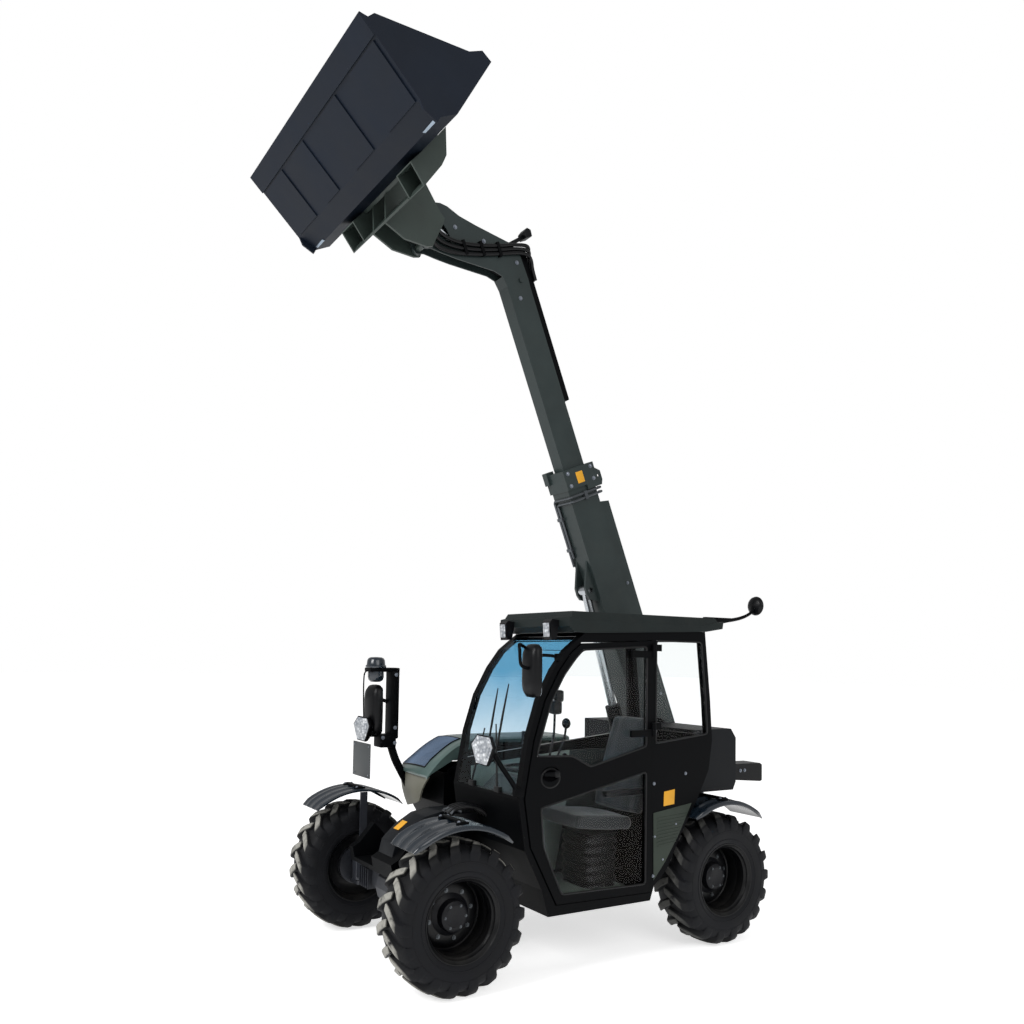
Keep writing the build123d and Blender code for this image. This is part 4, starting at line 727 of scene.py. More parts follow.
def build_seat():
    """Sprung seat: pedestal with bellows, crowned cushion and back, and two armrests."""
    form = bmesh.new()
    rows = []
    for i in range(13):
        z = 0.362 + 0.330 * i / 12
        out = 0.0 if i % 2 else 0.014
        rows.append([form.verts.new((-0.270 + (0.112 + out) * across, 0.360 + (0.132 + out) * along, z))
                     for across, along in rounded_ring(24, 0.35)])
    capped(form, rows, wrap_column=True)
    settle("seat_pedestal", form, "rubber_trim", "chassis", angle=50, stands_for=("seat",))
    for name, middle, size, tilt in (("seat_cushion", (-0.235, 0.360, 0.768), (0.430, 0.400, 0.100), 5),
                                     ("seat_back", (-0.570, 0.360, 1.085), (0.095, 0.420, 0.600), 15)):
        form = bmesh.new()
        bmesh.ops.create_cube(form, size=1.0)
        bmesh.ops.subdivide_edges(form, edges=form.edges, cuts=11, use_grid_fill=True)
        for vert in form.verts:
            x, y, z = (2 * c for c in vert.co)
            crown = (1 - abs(x if name == "seat_cushion" else z) ** 3) * (1 - abs(y) ** 3)
            pull = 1 - 0.10 * ((x * x + y * y + z * z) / 3) ** 2
            if name == "seat_cushion":
                seam = 0.006 * exp(-((abs(y) - 0.62) / 0.06) ** 2) * (1 if z > 0 else 0)
                spot = Vector((x * size[0] / 2 * pull, y * size[1] / 2 * pull,
                               z * size[2] / 2 * (0.72 + 0.28 * crown) - seam))
            else:
                seam = 0.006 * exp(-((abs(y) - 0.62) / 0.06) ** 2) * (1 if x > 0 else 0)
                seam += 0.004 * exp(-((z + 0.1) / 0.05) ** 2) * (1 if x > 0 else 0)
                spot = Vector((x * size[0] / 2 * (0.66 + 0.34 * crown) - seam,
                               y * size[1] / 2 * pull * (1 - 0.10 * (z + 1) / 2), z * size[2] / 2 * pull))
            vert.co = spot
        moved(form, Matrix.Translation(middle) @ turned(-tilt, "Y"))
        bmesh.ops.subdivide_edges(form, edges=form.edges, cuts=1, use_grid_fill=True, smooth=0.6)
        made = settle(name, form, "seat", "chassis", angle=70)
    form = bmesh.new()
    for y in (0.140, 0.580):
        block(form, (-0.520, y - 0.024, 0.925), (-0.200, y + 0.024, 0.965), 0.014)
        tube_along(form, [(-0.505, y, 0.940), (-0.560, y, 0.900), (-0.575, y, 0.850)], 0.012, flats=10)
    settle("armrests", form, "plastic", "chassis")


def build_controls():
    """Steering wheel with its knob, the column, the joystick and the switch panel."""
    middle = Vector((0.190, 0.370, 1.090))
    form = bmesh.new()
    rows = []
    for i in range(56):
        a = 2 * pi * i / 56
        rows.append([form.verts.new(((0.158 + 0.0115 * cos(b)) * cos(a), (0.158 + 0.0115 * cos(b)) * sin(a),
                                     0.0115 * sin(b))) for b in (2 * pi * k / 12 for k in range(12))])
    grid_faces(form, rows, wrap_row=True, wrap_column=True)
    for turn in (90, 210, 330):
        a = radians(turn)
        tube_along(form, [(0.030 * cos(a), 0.030 * sin(a), -0.010),
                          (0.090 * cos(a), 0.090 * sin(a), -0.010), (0.153 * cos(a), 0.153 * sin(a), 0.0)],
                   0.0085, flats=8)
    bmesh.ops.create_cone(form, segments=32, radius1=0.040, radius2=0.032, depth=0.026, cap_ends=True,
                          matrix=Matrix.Translation((0, 0, -0.010)))
    moved(form, Matrix.Translation(middle))
    settle("steering_rim", form, "plastic", "chassis", angle=40, stands_for=("steering_wheel",))
    form = bmesh.new()
    lathe(form, [(0, 0.0001), (0, 0.012), (0.018, 0.012), (0.024, 0.022), (0.038, 0.024), (0.050, 0.018),
                 (0.054, 0.0001)], turns=24, closed=False)
    moved(form, Matrix.Translation((0.080, 0.490, 1.096)) @ turned(90, "X"))
    settle("steering_knob", form, "gloss_plastic", "chassis", angle=40)
    form = bmesh.new()
    tube_along(form, smooth_line([(-0.290, 0.160, 0.960), (-0.255, 0.155, 1.020), (-0.240, 0.150, 1.080)]),
               0.010)
    bmesh.ops.create_uvsphere(form, u_segments=20, v_segments=12, radius=0.026,
                              matrix=Matrix.Translation((-0.238, 0.149, 1.105))
                              @ Matrix.Scale(1.3, 4, (0, 0, 1)))
    block(form, (0.335, 0.560, 1.180), (0.385, 0.640, 1.330), 0.008)
    block(form, (0.350, 0.645, 1.220), (0.375, 0.665, 1.270), 0.005)
    settle("control_lever", form, "plastic", "chassis", angle=40)
    form = bmesh.new()
    tube_along(form, smooth_line([(0.250, 0.640, 1.180), (0.190, 0.600, 1.300), (0.165, 0.575, 1.430)]),
               0.007)
    block(form, (0.130, 0.545, 1.420), (0.190, 0.605, 1.500), 0.018)
    block(form, (0.115, 0.560, 1.490), (0.170, 0.600, 1.560), 0.016)
    tube_along(form, smooth_line([(0.060, 0.440, 1.130), (-0.010, 0.430, 1.240), (-0.035, 0.422, 1.330)]),
               0.007)
    bmesh.ops.create_uvsphere(form, u_segments=20, v_segments=14, radius=0.032,
                              matrix=Matrix.Translation((-0.038, 0.420, 1.352))
                              @ Matrix.Scale(0.7, 4, (1, 0, 0)))
    settle("pillar_units", form, "plastic", "chassis", angle=40)


def build_cab_lining():
    """Lower side panel with its vents, the floor mat and the console beside the seat."""
    form = bmesh.new()
    slab(form, side(74, (-225, 392), (240, 392), (400, 700), (415, 1080), (-330, 1150), (-310, 840)),
         mm(0, 8, 0), 0.003)
    settle("side_lining", form, "lining", "chassis")
    form = bmesh.new()
    slab(form, side(74, (-885, 392), (-228, 392), (-313, 840), (-333, 1150), (-885, 1150)), mm(0, 8, 0),
         0.003)
    block(form, mm(-880, 84, 392), mm(-740, 250, 690), 0.02)
    for k in range(5):
        for x in (-840, -640):
            slab(form, side(83, (x, 730 + 24 * k), (x + 150, 722 + 24 * k), (x + 150, 730 + 24 * k),
                            (x, 738 + 24 * k)), mm(0, 6, 0), 0.001)
    settle("rear_lining", form, "wall", "chassis")
    form = bmesh.new()
    for k in range(6):
        for x in (40, 200):
            slab(form, side(83, (x, 830 + 22 * k), (x + 110, 836 + 22 * k), (x + 110, 842 + 22 * k),
                            (x, 836 + 22 * k)), mm(0, 3, 0))
    settle("vent_slats", form, "rubber_trim", "chassis")
    form = bmesh.new()
    block(form, mm(-430, 86, 366), mm(250, 650, 374), 0.003)
    settle("floor_mat", form, "mat", "chassis")
    form = bmesh.new()
    for spot in ((20, 790), (180, 800), (340, 760), (60, 1010), (250, 1000), (-40, 460), (100, 470),
                 (-390, 980)):
        hex_bolt(form, mm(spot[0], 82, spot[1]), (0, 1, 0), 0.007)
    settle("lining_screws", form, "bolt", "chassis")


build_cab_trim()
build_seat()
build_controls()
build_cab_lining()


# ---------------------------------------------------------------- lamps, plates and grille
LAMP_FACE = [(-72, 34), (-34, 86), (52, 78), (72, 22), (34, -80), (-38, -70)]  # across, up


def lens(name, corners, depth, body="chassis", finish="lens"):
    """Lens with a raised rim-to-middle step, over the mouth of a lamp."""
    form = bmesh.new()
    slab(form, corners, depth, 0.003)
    middle = sum((Vector(c) for c in corners), Vector()) / len(corners)
    inner = [middle + (Vector(c) - middle) * 0.80 + Vector(depth) for c in corners]
    slab(form, inner, Vector(depth) * 0.6, 0.0015)
    settle(name, form, finish, body, angle=25)


def head_lamp(name, place, turn):
    """Six-sided head lamp: a shell that narrows to the back, and its lens, turned a little outwards."""
    facing = Matrix.Translation(place) @ turned(turn, "Z")
    rows = []
    form = bmesh.new()
    for depth, size in ((0.0, 1.0), (-0.012, 1.0), (-0.030, 0.94), (-0.062, 0.70), (-0.085, 0.40)):
        rows.append([form.verts.new(facing @ Vector((depth, a * size / 1000, b * size / 1000)))
                     for a, b in LAMP_FACE])
    capped(form, rows, wrap_column=True)
    settle(f"head_lamp_shell_{name}", form, "plastic", "chassis", angle=25)
    corners = [facing @ Vector((0.0, a * 0.92 / 1000, b * 0.92 / 1000)) for a, b in LAMP_FACE]
    lens(f"head_lamp_lens_{name}", corners, facing.to_3x3() @ Vector((0.006, 0, 0)))


def build_lamps():
    """Head lamps on their arms, the beacon, and the lenses of the other lamps."""
    head_lamp("left", Vector(mm(725, 690, 1245)), 24)
    head_lamp("right", Vector(mm(806, -676, 1248)), 24)
    form = bmesh.new()
    block(form, mm(572, -690, 1185), mm(632, -594, 1652), 0.012)
    block(form, mm(572, -690, 1628), mm(790, -594, 1656), 0.009)
    block(form, mm(590, -700, 1130), mm(706, -590, 1215), 0.010)
    tube_along(form, curve((452, -642, 806), (476, -642, 880), (522, -642, 960), (572, -642, 1050),
                           (612, -642, 1160)), 0.027, flats=16)
    block(form, mm(700, -690, 1196), mm(745, -660, 1232), 0.006)
    settle("lamp_arm_right", form, "black", "chassis", stands_for=("front_lamps",))
    form = bmesh.new()
    tube_along(form, curve((500, 706, 1010), (545, 704, 1075), (610, 700, 1160), (652, 694, 1225)), 0.014,
               flats=12)
    block(form, mm(468, 690, 990), mm(530, 722, 1040), 0.006)
    settle("lamp_arm_left", form, "black", "chassis")
    form = bmesh.new()
    tube_along(form, curve((770, -650, 1642), (802, -652, 1622), (808, -655, 1560), (804, -660, 1440),
                           (796, -668, 1330)), 0.005, flats=8)
    settle("lamp_stay", form, "black", "chassis")
    form = bmesh.new()
    lathe(form, [(0.0, 0.0001), (0.0, 0.066), (0.008, 0.069), (0.016, 0.068), (0.020, 0.062), (0.052, 0.058),
                 (0.064, 0.050), (0.070, 0.036), (0.072, 0.0001)], turns=48, closed=False)
    lathe(form, [(-0.024, 0.0001), (-0.024, 0.052), (-0.060, 0.054), (-0.080, 0.048), (-0.092, 0.034),
                 (-0.094, 0.0001)], turns=48, closed=False)
    moved(form, Matrix.Translation(mm(728, -642, 1654)) @ turned(90, "X"))
    settle("beacon", form, "gloss_plastic", "chassis", angle=40)
    for name, y in (("left", 600), ("right", 150)):
        lens(f"roof_lamp_lens_{name}", [mm(246, y - 28, 1862), mm(246, y + 28, 1862), mm(252, y + 28, 1942),
                                        mm(252, y - 28, 1942)], mm(5, 0, -0.4))
    lens("boom_lamp_lens", [boom(3467, 256, -62), boom(3504, 259, -62), boom(3504, 259, -114),
                            boom(3467, 256, -114)], BACK * 0.006, "boom_stage", "dim_lens")
    form = bmesh.new()
    slab(form, boom_side(-50, (3459, 202), (3462, 255), (3508, 259), (3524, 236), (3502, 201)),
         mm(0, -76, 0), 0.004)
    slab(form, boom_side(-78, (3430, 64), (3458, 182), (3474, 214), (3494, 208), (3478, 168), (3456, 60)),
         mm(0, -16, 0), 0.002)
    settle("boom_lamp_shell", form, "plastic", "boom_stage")
    form = bmesh.new()
    lathe(form, [(0.0, 0.012), (0.0, 0.024), (0.006, 0.024), (0.006, 0.012)], turns=28)
    settle("neck_grommet", form, "bolt", "boom_stage", boom(3702, -452, -49), 30)
    for name, y in (("left", 470), ("right", -470)):
        for colour, low, high in (("red_lens", -54, -4), ("amber_lens", 4, 54)):
            lens(f"{colour}_{name}", [mm(-1524, y + low, 962), mm(-1524, y + low, 1044),
                                      mm(-1524, y + high, 1044), mm(-1524, y + high, 962)], mm(-6, 0, 0),
                 finish=colour)


def mirror_head(name, place, size, turn, stands_for=()):
    """Mirror: a swelling back shell with rounded corners, and the glass in its rim."""
    wide, high, deep = size
    facing = Matrix.Translation(place) @ turned(turn, "Z")
    form = bmesh.new()
    rows = []
    for depth, scale in ((0.0, 0.93), (0.004, 1.0), (deep * 0.45, 0.98), (deep * 0.8, 0.86), (deep, 0.55)):
        half_wide, half_high = wide / 2 * scale, high / 2 * scale
        rows.append([form.verts.new(facing @ Vector((depth, across * half_wide, up * half_high)))
                     for across, up in rounded_ring(32, 0.5)])
    capped(form, rows, wrap_column=True)
    settle(f"mirror_shell_{name}", form, "plastic", "chassis", angle=50, stands_for=stands_for)
    form = bmesh.new()
    corners = ((-1, -0.9), (-0.85, -1), (0.85, -1), (1, -0.9), (1, 0.9), (0.85, 1), (-0.85, 1), (-1, 0.9))
    slab(form, [facing @ Vector((-0.001, across * wide * 0.43, up * high * 0.45)) for across, up in corners],
         facing.to_3x3() @ Vector((-0.002, 0, 0)))
    settle(f"mirror_glass_{name}", form, "mirror", "chassis")


def build_mirrors():
    """Left mirror on its bent tube, right mirror beside the beacon, and the round one behind the roof."""
    mirror_head("left", Vector(mm(455, 775, 1672)), (0.130, 0.290, 0.050), 8, ("mirrors",))
    mirror_head("right", Vector(mm(690, -705, 1372)), (0.170, 0.340, 0.060), 10)
    form = bmesh.new()
    tube_along(form, curve((236, 700, 1748), (300, 706, 1756), (400, 712, 1762), (500, 740, 1800),
                           (548, 765, 1812), (560, 785, 1780), (556, 790, 1710), (530, 790, 1690),
                           (486, 782, 1685)), 0.009, flats=10)
    block(form, mm(222, 690, 1728), mm(262, 722, 1768), 0.006)
    tube_along(form, curve((612, -662, 1420), (660, -680, 1440), (712, -704, 1440)), 0.012)
    tube_along(form, curve((-1000, 640, 1998), (-1150, 640, 2004), (-1290, 640, 2028), (-1380, 640, 2064),
                           (-1424, 640, 2108)), lambda u: 0.013 - 0.004 * u, flats=10)
    slab(form, [mm(-960, 622, 1956), mm(-1190, 630, 2000), mm(-1190, 630, 2022), mm(-960, 622, 2022)],
         mm(0, 26, 0), 0.004)
    settle("mirror_arms", form, "black", "chassis", angle=45)
    form = bmesh.new()
    lathe(form, [(0.0, 0.0001), (0.0, 0.058), (0.006, 0.063), (0.016, 0.060), (0.028, 0.040),
                 (0.034, 0.0001)], turns=40, closed=False)
    moved(form, Matrix.Translation(mm(-1436, 640, 2112)) @ turned(-90, "Z"))
    settle("mirror_shell_rear", form, "plastic", "chassis", angle=50)
    form = bmesh.new()
    lathe(form, [(-0.001, 0.0001), (-0.001, 0.053), (0.002, 0.053), (0.002, 0.0001)], turns=40, closed=False)
    moved(form, Matrix.Translation(mm(-1437.5, 640, 2112)) @ turned(-90, "Z"))
    settle("mirror_glass_rear", form, "mirror", "chassis")


def plate(name, corners, depth, body, finish="yellow_plate"):
    """Blank plate with rounded edges."""
    form = bmesh.new()
    slab(form, corners, depth, 0.0006)
    settle(name, form, finish, body)


def build_plates():
    """Plates that are left blank, and the vent panel."""
    plate("panel_plate", side(720.2, (-542, 872), (-628, 880), (-632, 968), (-545, 958)), mm(0, 1.2, 0),
          "chassis")
    form = bmesh.new()
    slab(form, side(720.4, (-460, 838), (-770, 878), (-752, 846), (-668, 702), (-556, 545), (-464, 444)),
         mm(0, 3, 0), 0.001)
    for k in range(9):
        z = 640 + 20 * k
        left = -640 - (z - 640) * 0.55
        slab(form, side(723.2, (-490, z), (left, z + 16), (left, z + 22), (-490, z + 6)), mm(0, 3, 0),
             0.0008)
    settle("vent_panel", form, "vent", "chassis")
    plate("marker_plate", [mm(812, -782, 942), mm(812, -512, 942), mm(812, -512, 1165), mm(812, -782, 1165)],
          mm(3, 0, 0), "chassis", "grey_plate")
    left = boom(0, 0, BOOM_Y + COLLAR_HALF).y * 1000 + 0.2
    plate("boom_plate", boom_side(left, (1892, -20), (1892, 40), (1815, 40), (1815, -20)), mm(0, 1.2, 0),
          "boom")


HOOD_NEAR = [  # along and up, on the boom's side
    (554, 986), (512, 1034), (462, 1084), (390, 1138), (320, 1178), (240, 1201), (140, 1207), (0, 1208),
    (-280, 1208), (-560, 1206),
]
HOOD_FAR = [
    (498, 980), (464, 1006), (425, 1034), (333, 1101), (250, 1150), (176, 1180), (80, 1189), (-20, 1190),
    (-290, 1190), (-560, 1189),
]
HOOD_LEFT, HOOD_RIGHT = -221.0, -735.0


def hood_point(place, across, sink=0.0):
    """Point of the hood's top: place counts stations from the front, across runs from left to right."""
    i = min(int(place), len(HOOD_NEAR) - 2)
    share = place - i
    ends = []
    for line in (HOOD_NEAR, HOOD_FAR):
        a, b = (Vector(line[k]) for k in (max(i - 1, 0), i))
        c, d = (Vector(line[k]) for k in (i + 1, min(i + 2, len(line) - 1)))
        ends.append(0.5 * (2 * b + (c - a) * share + (2 * a - 5 * b + 4 * c - d) * share ** 2
                           + (3 * b - a - 3 * c + d) * share ** 3))
    x, z = ends[0].lerp(ends[1], across ** 1.6)
    swell = 10 * sin(pi * min(1.0, across)) * min(1.0, place)
    edge = 8 * max(0.0, 1 - min(across, 1 - across) / 0.04) ** 2
    return Vector(mm(x + (6 * sin(pi * across) if place < 2 else 0),
                     HOOD_LEFT + (HOOD_RIGHT - HOOD_LEFT) * across, z + swell - edge - sink))


def build_hood():
    """Curved hood skin with its mesh panel and hinge eyes, and the pale panel below its front."""
    form = bmesh.new()
    rows = []
    for k in range(55):
        place = k / 6
        top = [hood_point(place, i / 24) for i in range(25)]
        under = [hood_point(place, i / 24, 12) for i in range(25)]
        x = top[0].x * 1000
        near = 1180 if x < 170 else 1180 - (x - 170) * 0.52
        far = 1006
        low_near = min(near / 1000, under[0].z - 0.001)
        low_far = min(far / 1000, under[24].z - 0.001)
        row = [Vector((top[0].x, top[0].y, low_near))] + top + [Vector((top[24].x, top[24].y, low_far))]
        row += [Vector((top[24].x, top[24].y + 0.012, low_far))]
        row += [Vector((p.x, min(max(p.y, HOOD_RIGHT / 1000 + 0.012), HOOD_LEFT / 1000 - 0.012), p.z))
                for p in reversed(under)]
        row += [Vector((top[0].x, top[0].y - 0.012, low_near))]
        rows.append([form.verts.new(p) for p in row])
    capped(form, rows, wrap_column=True)
    slab(form, [mm(-559, -236, 1180), mm(-559, -236, 1192), mm(-559, -722, 1180), mm(-559, -722, 1008),
                mm(-559, -560, 1008)], mm(10, 0, 0))
    for x in (-420, -40):
        for start in (x - 40, x + 24):
            block(form, mm(start, -238, 1174), mm(start + 16, -222, 1198), 0.003)
    settle("hood_skin", form, "hood", "hood", angle=35, stands_for=("engine_hood",))
    # mesh panel on the slope, its frame and its wires
    form = bmesh.new()
    rows = [[form.verts.new(hood_point(0.9 + 3.7 * k / 20, 0.20 + 0.72 * i / 16, -1.5)) for i in range(17)]
            for k in range(21)]
    grid_faces(form, rows)
    settle("mesh_panel", form, "mesh_back", "hood")
    form = bmesh.new()
    for k in range(27):
        line = [hood_point(0.9 + 3.7 * k / 26, 0.20 + 0.72 * i / 10, -3.0) for i in range(11)]
        tube_along(form, line, 0.0022, flats=4)
    for i in range(33):
        line = [hood_point(0.9 + 3.7 * k / 14, 0.20 + 0.72 * i / 32, -3.5) for k in range(15)]
        tube_along(form, line, 0.0022, flats=4)
    settle("hood_mesh", form, "mesh_steel", "hood")
    form = bmesh.new()
    ring = [hood_point(0.8 + 3.9 * k / 20, 0.185, -3) for k in range(21)]
    ring += [hood_point(4.7, 0.185 + 0.75 * i / 10, -3) for i in range(1, 11)]
    ring += [hood_point(4.7 - 3.9 * k / 20, 0.935, -3) for k in range(1, 21)]
    ring += [hood_point(0.8, 0.935 - 0.75 * i / 10, -3) for i in range(1, 11)]
    tube_along(form, ring, 0.005, flats=6)
    settle("mesh_frame", form, "plastic", "hood")
    form = bmesh.new()
    top = [(540, -232, 976), (536, -330, 974), (525, -450, 970), (510, -590, 962), (486, -722, 954)]
    foot = [(500, -420, 800), (494, -470, 780), (484, -540, 762), (470, -610, 745), (452, -680, 730)]
    rows = []
    for share in (0.0, 0.25, 0.5, 0.75, 1.0):
        swell = Vector((14 * sin(pi * share), 0, 0))
        rows.append([form.verts.new(mm(*(Vector(a).lerp(Vector(b), share) + swell)))
                     for a, b in zip(top, foot)])
    back = [[form.verts.new(vert.co - Vector((0.012, 0, 0))) for vert in row] for row in rows]
    grid_faces(form, rows)
    grid_faces(form, [list(reversed(row)) for row in back])
    rim, rear = (grid[0] + [row[-1] for row in grid[1:]] + list(reversed(grid[-1]))[1:]
                 + [row[0] for row in grid[-2:0:-1]] for grid in (rows, back))
    for i in range(len(rim)):
        j = (i + 1) % len(rim)
        form.faces.new((rim[i], rear[i], rear[j], rim[j]))
    settle("nose_panel", form, "nose", "chassis", angle=40)


def build_front_cover():
    """Cover over the front axle between the boom and the wheel, with its blank plate, fittings and hoses."""
    form = bmesh.new()
    slab(form, side(34, (1006, 612), (985, 690), (900, 768), (800, 826), (700, 846), (560, 848),
                    (560, 612)), mm(0, 180, 0), 0.008)
    settle("front_cover", form, "cowl", "chassis")
    plate("front_plate", [mm(930, 76, 745.5), mm(872, 76, 787.0), mm(872, 136, 787.0), mm(930, 136, 745.5)],
          mm(1.5, 0, 2.4), "chassis")
    form = bmesh.new()
    for x, y, z in ((690, 250, 860), (640, 300, 872), (600, 240, 866), (560, 330, 880)):
        hex_bolt(form, mm(x, y, z), (0.2, 0.2, 1), 0.012)
    for y in (250, 290, 330):
        tube_along(form, smooth_line([mm(700, y, 852), mm(672, y + 6, 872), mm(640, y + 14, 862)]), 0.009,
                   flats=8)
    settle("front_fittings", form, "pipe", "chassis")
    form = bmesh.new()
    block(form, mm(540, 222, 780), mm(690, 360, 856), 0.010)
    for i in range(4):
        y = 236 + 30 * i
        tube_along(form, curve((700, y, 850), (650, y + 20, 884), (570, y + 34, 890), (500, y + 40, 860),
                               (450, y + 30, 790)), 0.010, flats=8)
    settle("front_hoses", form, "hose", "chassis", angle=60)


def build_bolts():
    """Bolt heads on the panels, the boom and the lamps."""
    form = bmesh.new()
    for x, z in ((-465, 1010), (-720, 1058), (-470, 700), (-640, 760), (-462, 470), (-535, 560)):
        hex_bolt(form, mm(x, 720, z), (0, 1, 0), 0.007)
    for y in (470, -470):
        for x in (-1400, -1440):
            hex_bolt(form, mm(x, y + 70, 1020), (0, 1, 0), 0.008)
    for x, z in ((602, 1160), (690, 1196), (602, 1260), (602, 1610)):
        hex_bolt(form, mm(x, -590, z), (0, 1, 0), 0.009)
    for y in (-540, -755):
        for z in (962, 1145):
            hex_bolt(form, mm(815, y, z), (1, 0, 0), 0.004)
    settle("panel_bolts", form, "bolt", "chassis")
    form = bmesh.new()
    for s, t in ((1815, -85), (1900, -85), (1815, 120), (1900, 120)):
        hex_bolt(form, boom(s, t, BOOM_Y + COLLAR_HALF), (0, 1, 0), 0.010)
        hex_bolt(form, boom(s, t, BOOM_Y - COLLAR_HALF), (0, -1, 0), 0.010)
    for s in (200, 620, 1040):
        hex_bolt(form, boom(s, 180, BOOM_Y + STRIP_HALF), (0, 1, 0), 0.008)
        hex_bolt(form, boom(s, 180, BOOM_Y - STRIP_HALF), (0, -1, 0), 0.008)
    settle("boom_bolts", form, "bolt", "boom")
    form = bmesh.new()
    for s, t in ((3314, 65), (3088, 8), (3485, -145), (3410, -60), (3600, -330)):
        hex_bolt(form, boom(s, t, -50), (0, 1, 0), 0.010)
        hex_bolt(form, boom(s, t, -150), (0, -1, 0), 0.010)
    settle("neck_bolts", form, "bolt", "boom_stage")


def build_hoses():
    """Hoses clamped along the boom's back and down the near side of the neck."""
    form = bmesh.new()
    routes = (
        [(3180, 182, -84), (3260, 182, -80), (3330, 196, -72), (3372, 176, -40), (3396, 90, -36),
         (3408, -20, -36), (3424, -150, -36), (3446, -270, -36), (3480, -390, -36), (3530, -480, -36),
         (3600, -520, -34), (3668, -536, -32)],
        [(3180, 186, -110), (3270, 186, -106), (3350, 204, -84), (3400, 184, -42), (3424, 90, -38),
         (3434, -20, -34), (3452, -150, -34), (3474, -262, -34), (3510, -370, -34), (3560, -448, -34),
         (3622, -486, -32), (3684, -506, -30)],
        [(3180, 182, -60), (3250, 182, -56), (3312, 186, -48), (3346, 160, -38), (3370, 90, -35),
         (3382, -20, -35), (3396, -150, -35), (3416, -280, -35), (3448, -410, -35), (3500, -512, -35),
         (3580, -556, -33), (3656, -568, -31)],
    )
    for route in routes:
        tube_along(form, smooth_line([boom(*p) for p in route], 7), 0.012, flats=12)
    settle("neck_hoses", form, "hose", "boom_stage", angle=60)
    form = bmesh.new()
    for route in routes:
        end, before = boom(*route[-1]), boom(*route[-2])
        ahead = (end - before).normalized()
        tube_along(form, [end - ahead * 0.07, end - ahead * 0.04, end - ahead * 0.038, end - ahead * 0.018,
                          end - ahead * 0.016, end],
                   lambda u: 0.014 if u < 0.3 else (0.015 if u < 0.75 else 0.0125), flats=6)
    for s, t in ((3408, -60), (3432, -190), (3458, -320)):
        slab(form, boom_side(-50, (s - 42, t - 11), (s + 52, t - 11), (s + 52, t + 11), (s - 42, t + 11)),
             mm(0, 31, 0), 0.004)
    settle("hose_clamps", form, "black", "boom_stage")
    # guard over the hoses along the back of the inner boom
    form = bmesh.new()
    slab(form, boom_side(-131.5, (2362, 118), (2370, 174), (3396, 174), (3404, 118)), mm(0, 63, 0), 0.003)
    settle("hose_guard", form, "black", "boom_stage")


def build_bucket_wear():
    """Bare steel where the heel and the cutting edge rub."""
    form = bmesh.new()
    for low, high in ((-826, -690), (690, 826)):
        slab(form, [mm(1151, low + 16, 4465.5), mm(1151, high, 4465.5), mm(1166, high - 10, 4472.3),
                    mm(1163, low + 4, 4471.0)], mm(1.0, 0, -2.2), 0.0008)
    settle("heel_pads", form, "bare_steel", "attachment")


build_lamps()
build_mirrors()
build_plates()
build_hood()
build_front_cover()
build_bolts()
build_hoses()
build_bucket_wear()


# ---------------------------------------------------------------- stage, light and camera
def build_stage():
    """White floor that keeps the machine's shadow."""
    made, tree, shader = blank_material("studio_floor", Roughness=0.9)
    place = node(tree, "ShaderNodeTexCoord").outputs["Object"]
    tone = mixed(tree, noise(tree, place, 1.5), (0.92, 0.92, 0.92, 1), (0.95, 0.95, 0.95, 1))
    tree.links.new(tone, shader.inputs["Base Color"])
    path = node(tree, "ShaderNodeLightPath").outputs
    seen = maths(tree, "MAXIMUM", path["Is Camera Ray"],
                 maths(tree, "MAXIMUM", path["Is Transmission Ray"], path["Is Glossy Ray"]))
    glow = node(tree, "ShaderNodeEmission", {"Color": (1, 1, 1, 1), "Strength": 0.62})
    both = node(tree, "ShaderNodeAddShader", {0: shader.outputs[0], 1: glow.outputs[0]})
    pick = node(tree, "ShaderNodeMixShader", {0: seen, 1: shader.outputs[0], 2: both.outputs[0]})
    tree.links.new(pick.outputs[0], tree.nodes["Material Output"].inputs["Surface"])
    mesh = bpy.data.meshes.new("floor")
    mesh.from_pydata([(-60, -60, 0), (60, -60, 0), (60, 60, 0), (-60, 60, 0)], [], [(0, 1, 2, 3)])
    mesh.materials.append(made)
    floor = bpy.data.objects.new("floor", mesh)
    bpy.context.collection.objects.link(floor)


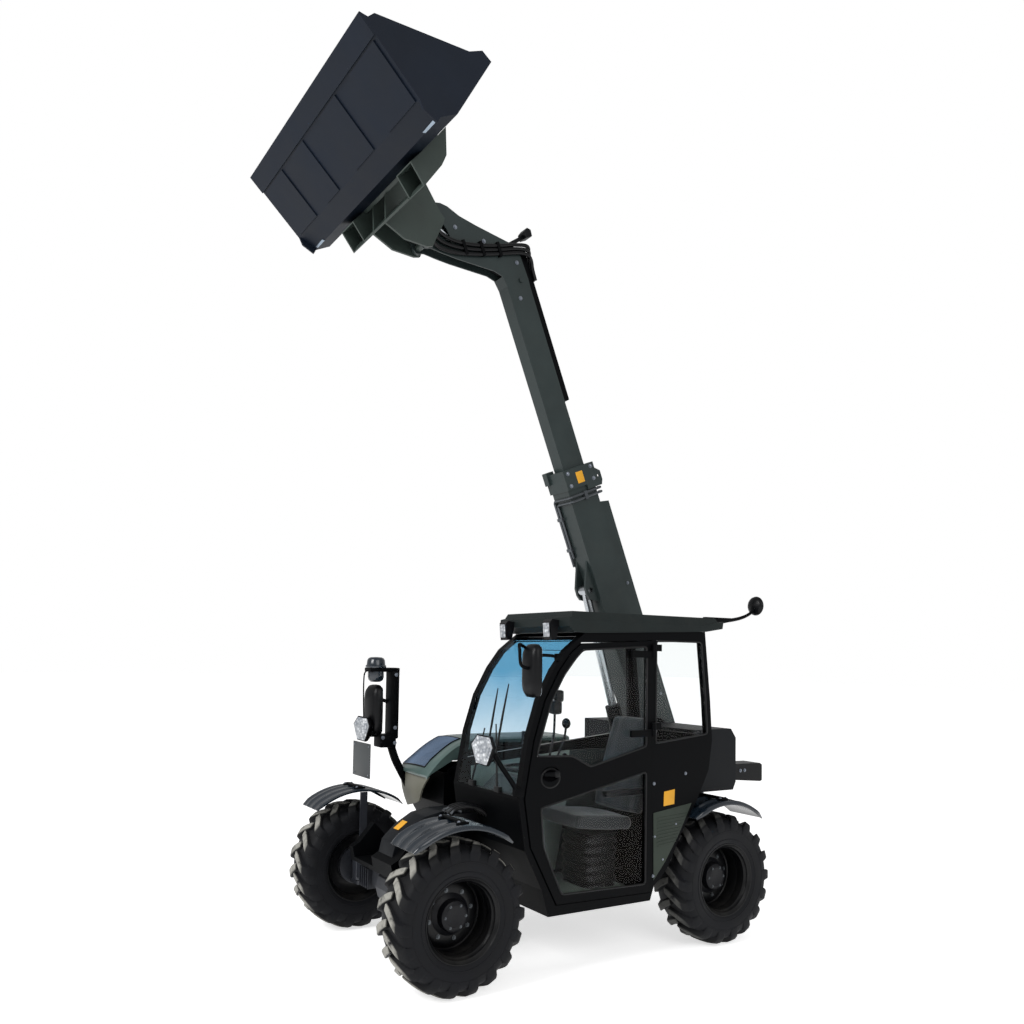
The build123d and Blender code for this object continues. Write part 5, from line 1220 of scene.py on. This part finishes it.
def build_world():
    """Even studio light, with a white background for the camera, reflections and glass."""
    world = bpy.data.worlds.new("studio")
    bpy.context.scene.world = world
    world.use_nodes = True
    tree = world.node_tree
    tree.nodes.clear()
    path = node(tree, "ShaderNodeLightPath").outputs
    seen = maths(tree, "MAXIMUM", path["Is Camera Ray"], path["Is Transmission Ray"])
    plain = node(tree, "ShaderNodeBackground", {"Color": (1, 1, 1, 1), "Strength": 0.5})
    white = node(tree, "ShaderNodeBackground", {"Color": (1, 1, 1, 1), "Strength": 1.0})
    pick = node(tree, "ShaderNodeMixShader", {0: seen, 1: plain.outputs[0], 2: white.outputs[0]})
    node(tree, "ShaderNodeOutputWorld", {0: pick.outputs[0]})


def add_area(name, place, aim, size, power):
    """Soft lamp at place that looks at aim."""
    lamp = bpy.data.lights.new(name, "AREA")
    lamp.energy, lamp.size = power, size
    made = bpy.data.objects.new(name, lamp)
    turn = (Vector(aim) - Vector(place)).to_track_quat("-Z", "Y").to_matrix().to_4x4()
    made.matrix_world = Matrix.Translation(place) @ turn
    bpy.context.collection.objects.link(made)


def build_camera():
    """Camera a little in front of the machine's left side at eye height."""
    yaw, pitch, roll = (radians(a) for a in (59.986, 2.843, 1.129))
    look = Vector((-cos(yaw) * cos(pitch), -sin(yaw) * cos(pitch), sin(pitch)))
    right = look.cross(Vector((0, 0, 1))).normalized()
    up = right.cross(look)
    right, up = right * cos(roll) + up * sin(roll), up * cos(roll) - right * sin(roll)
    data = bpy.data.cameras.new("camera")
    data.sensor_width, data.lens = 36.0, 30.67
    data.shift_x, data.shift_y = 0.0605, 0.0977
    made = bpy.data.objects.new("camera", data)
    turn = Matrix((right, up, -look)).transposed().to_4x4()
    made.matrix_world = Matrix.Translation((3.210, 4.623, 1.746)) @ turn
    bpy.context.collection.objects.link(made)
    bpy.context.scene.camera = made


build_stage()
build_world()
add_area("key", (8.5, 1.0, 7.0), (0, 0, 1.6), 4.0, 540)
add_area("fill", (1.0, 9.0, 6.0), (0, 0, 1.6), 6.0, 260)
build_camera()
bpy.context.scene.view_settings.view_transform = "Standard"
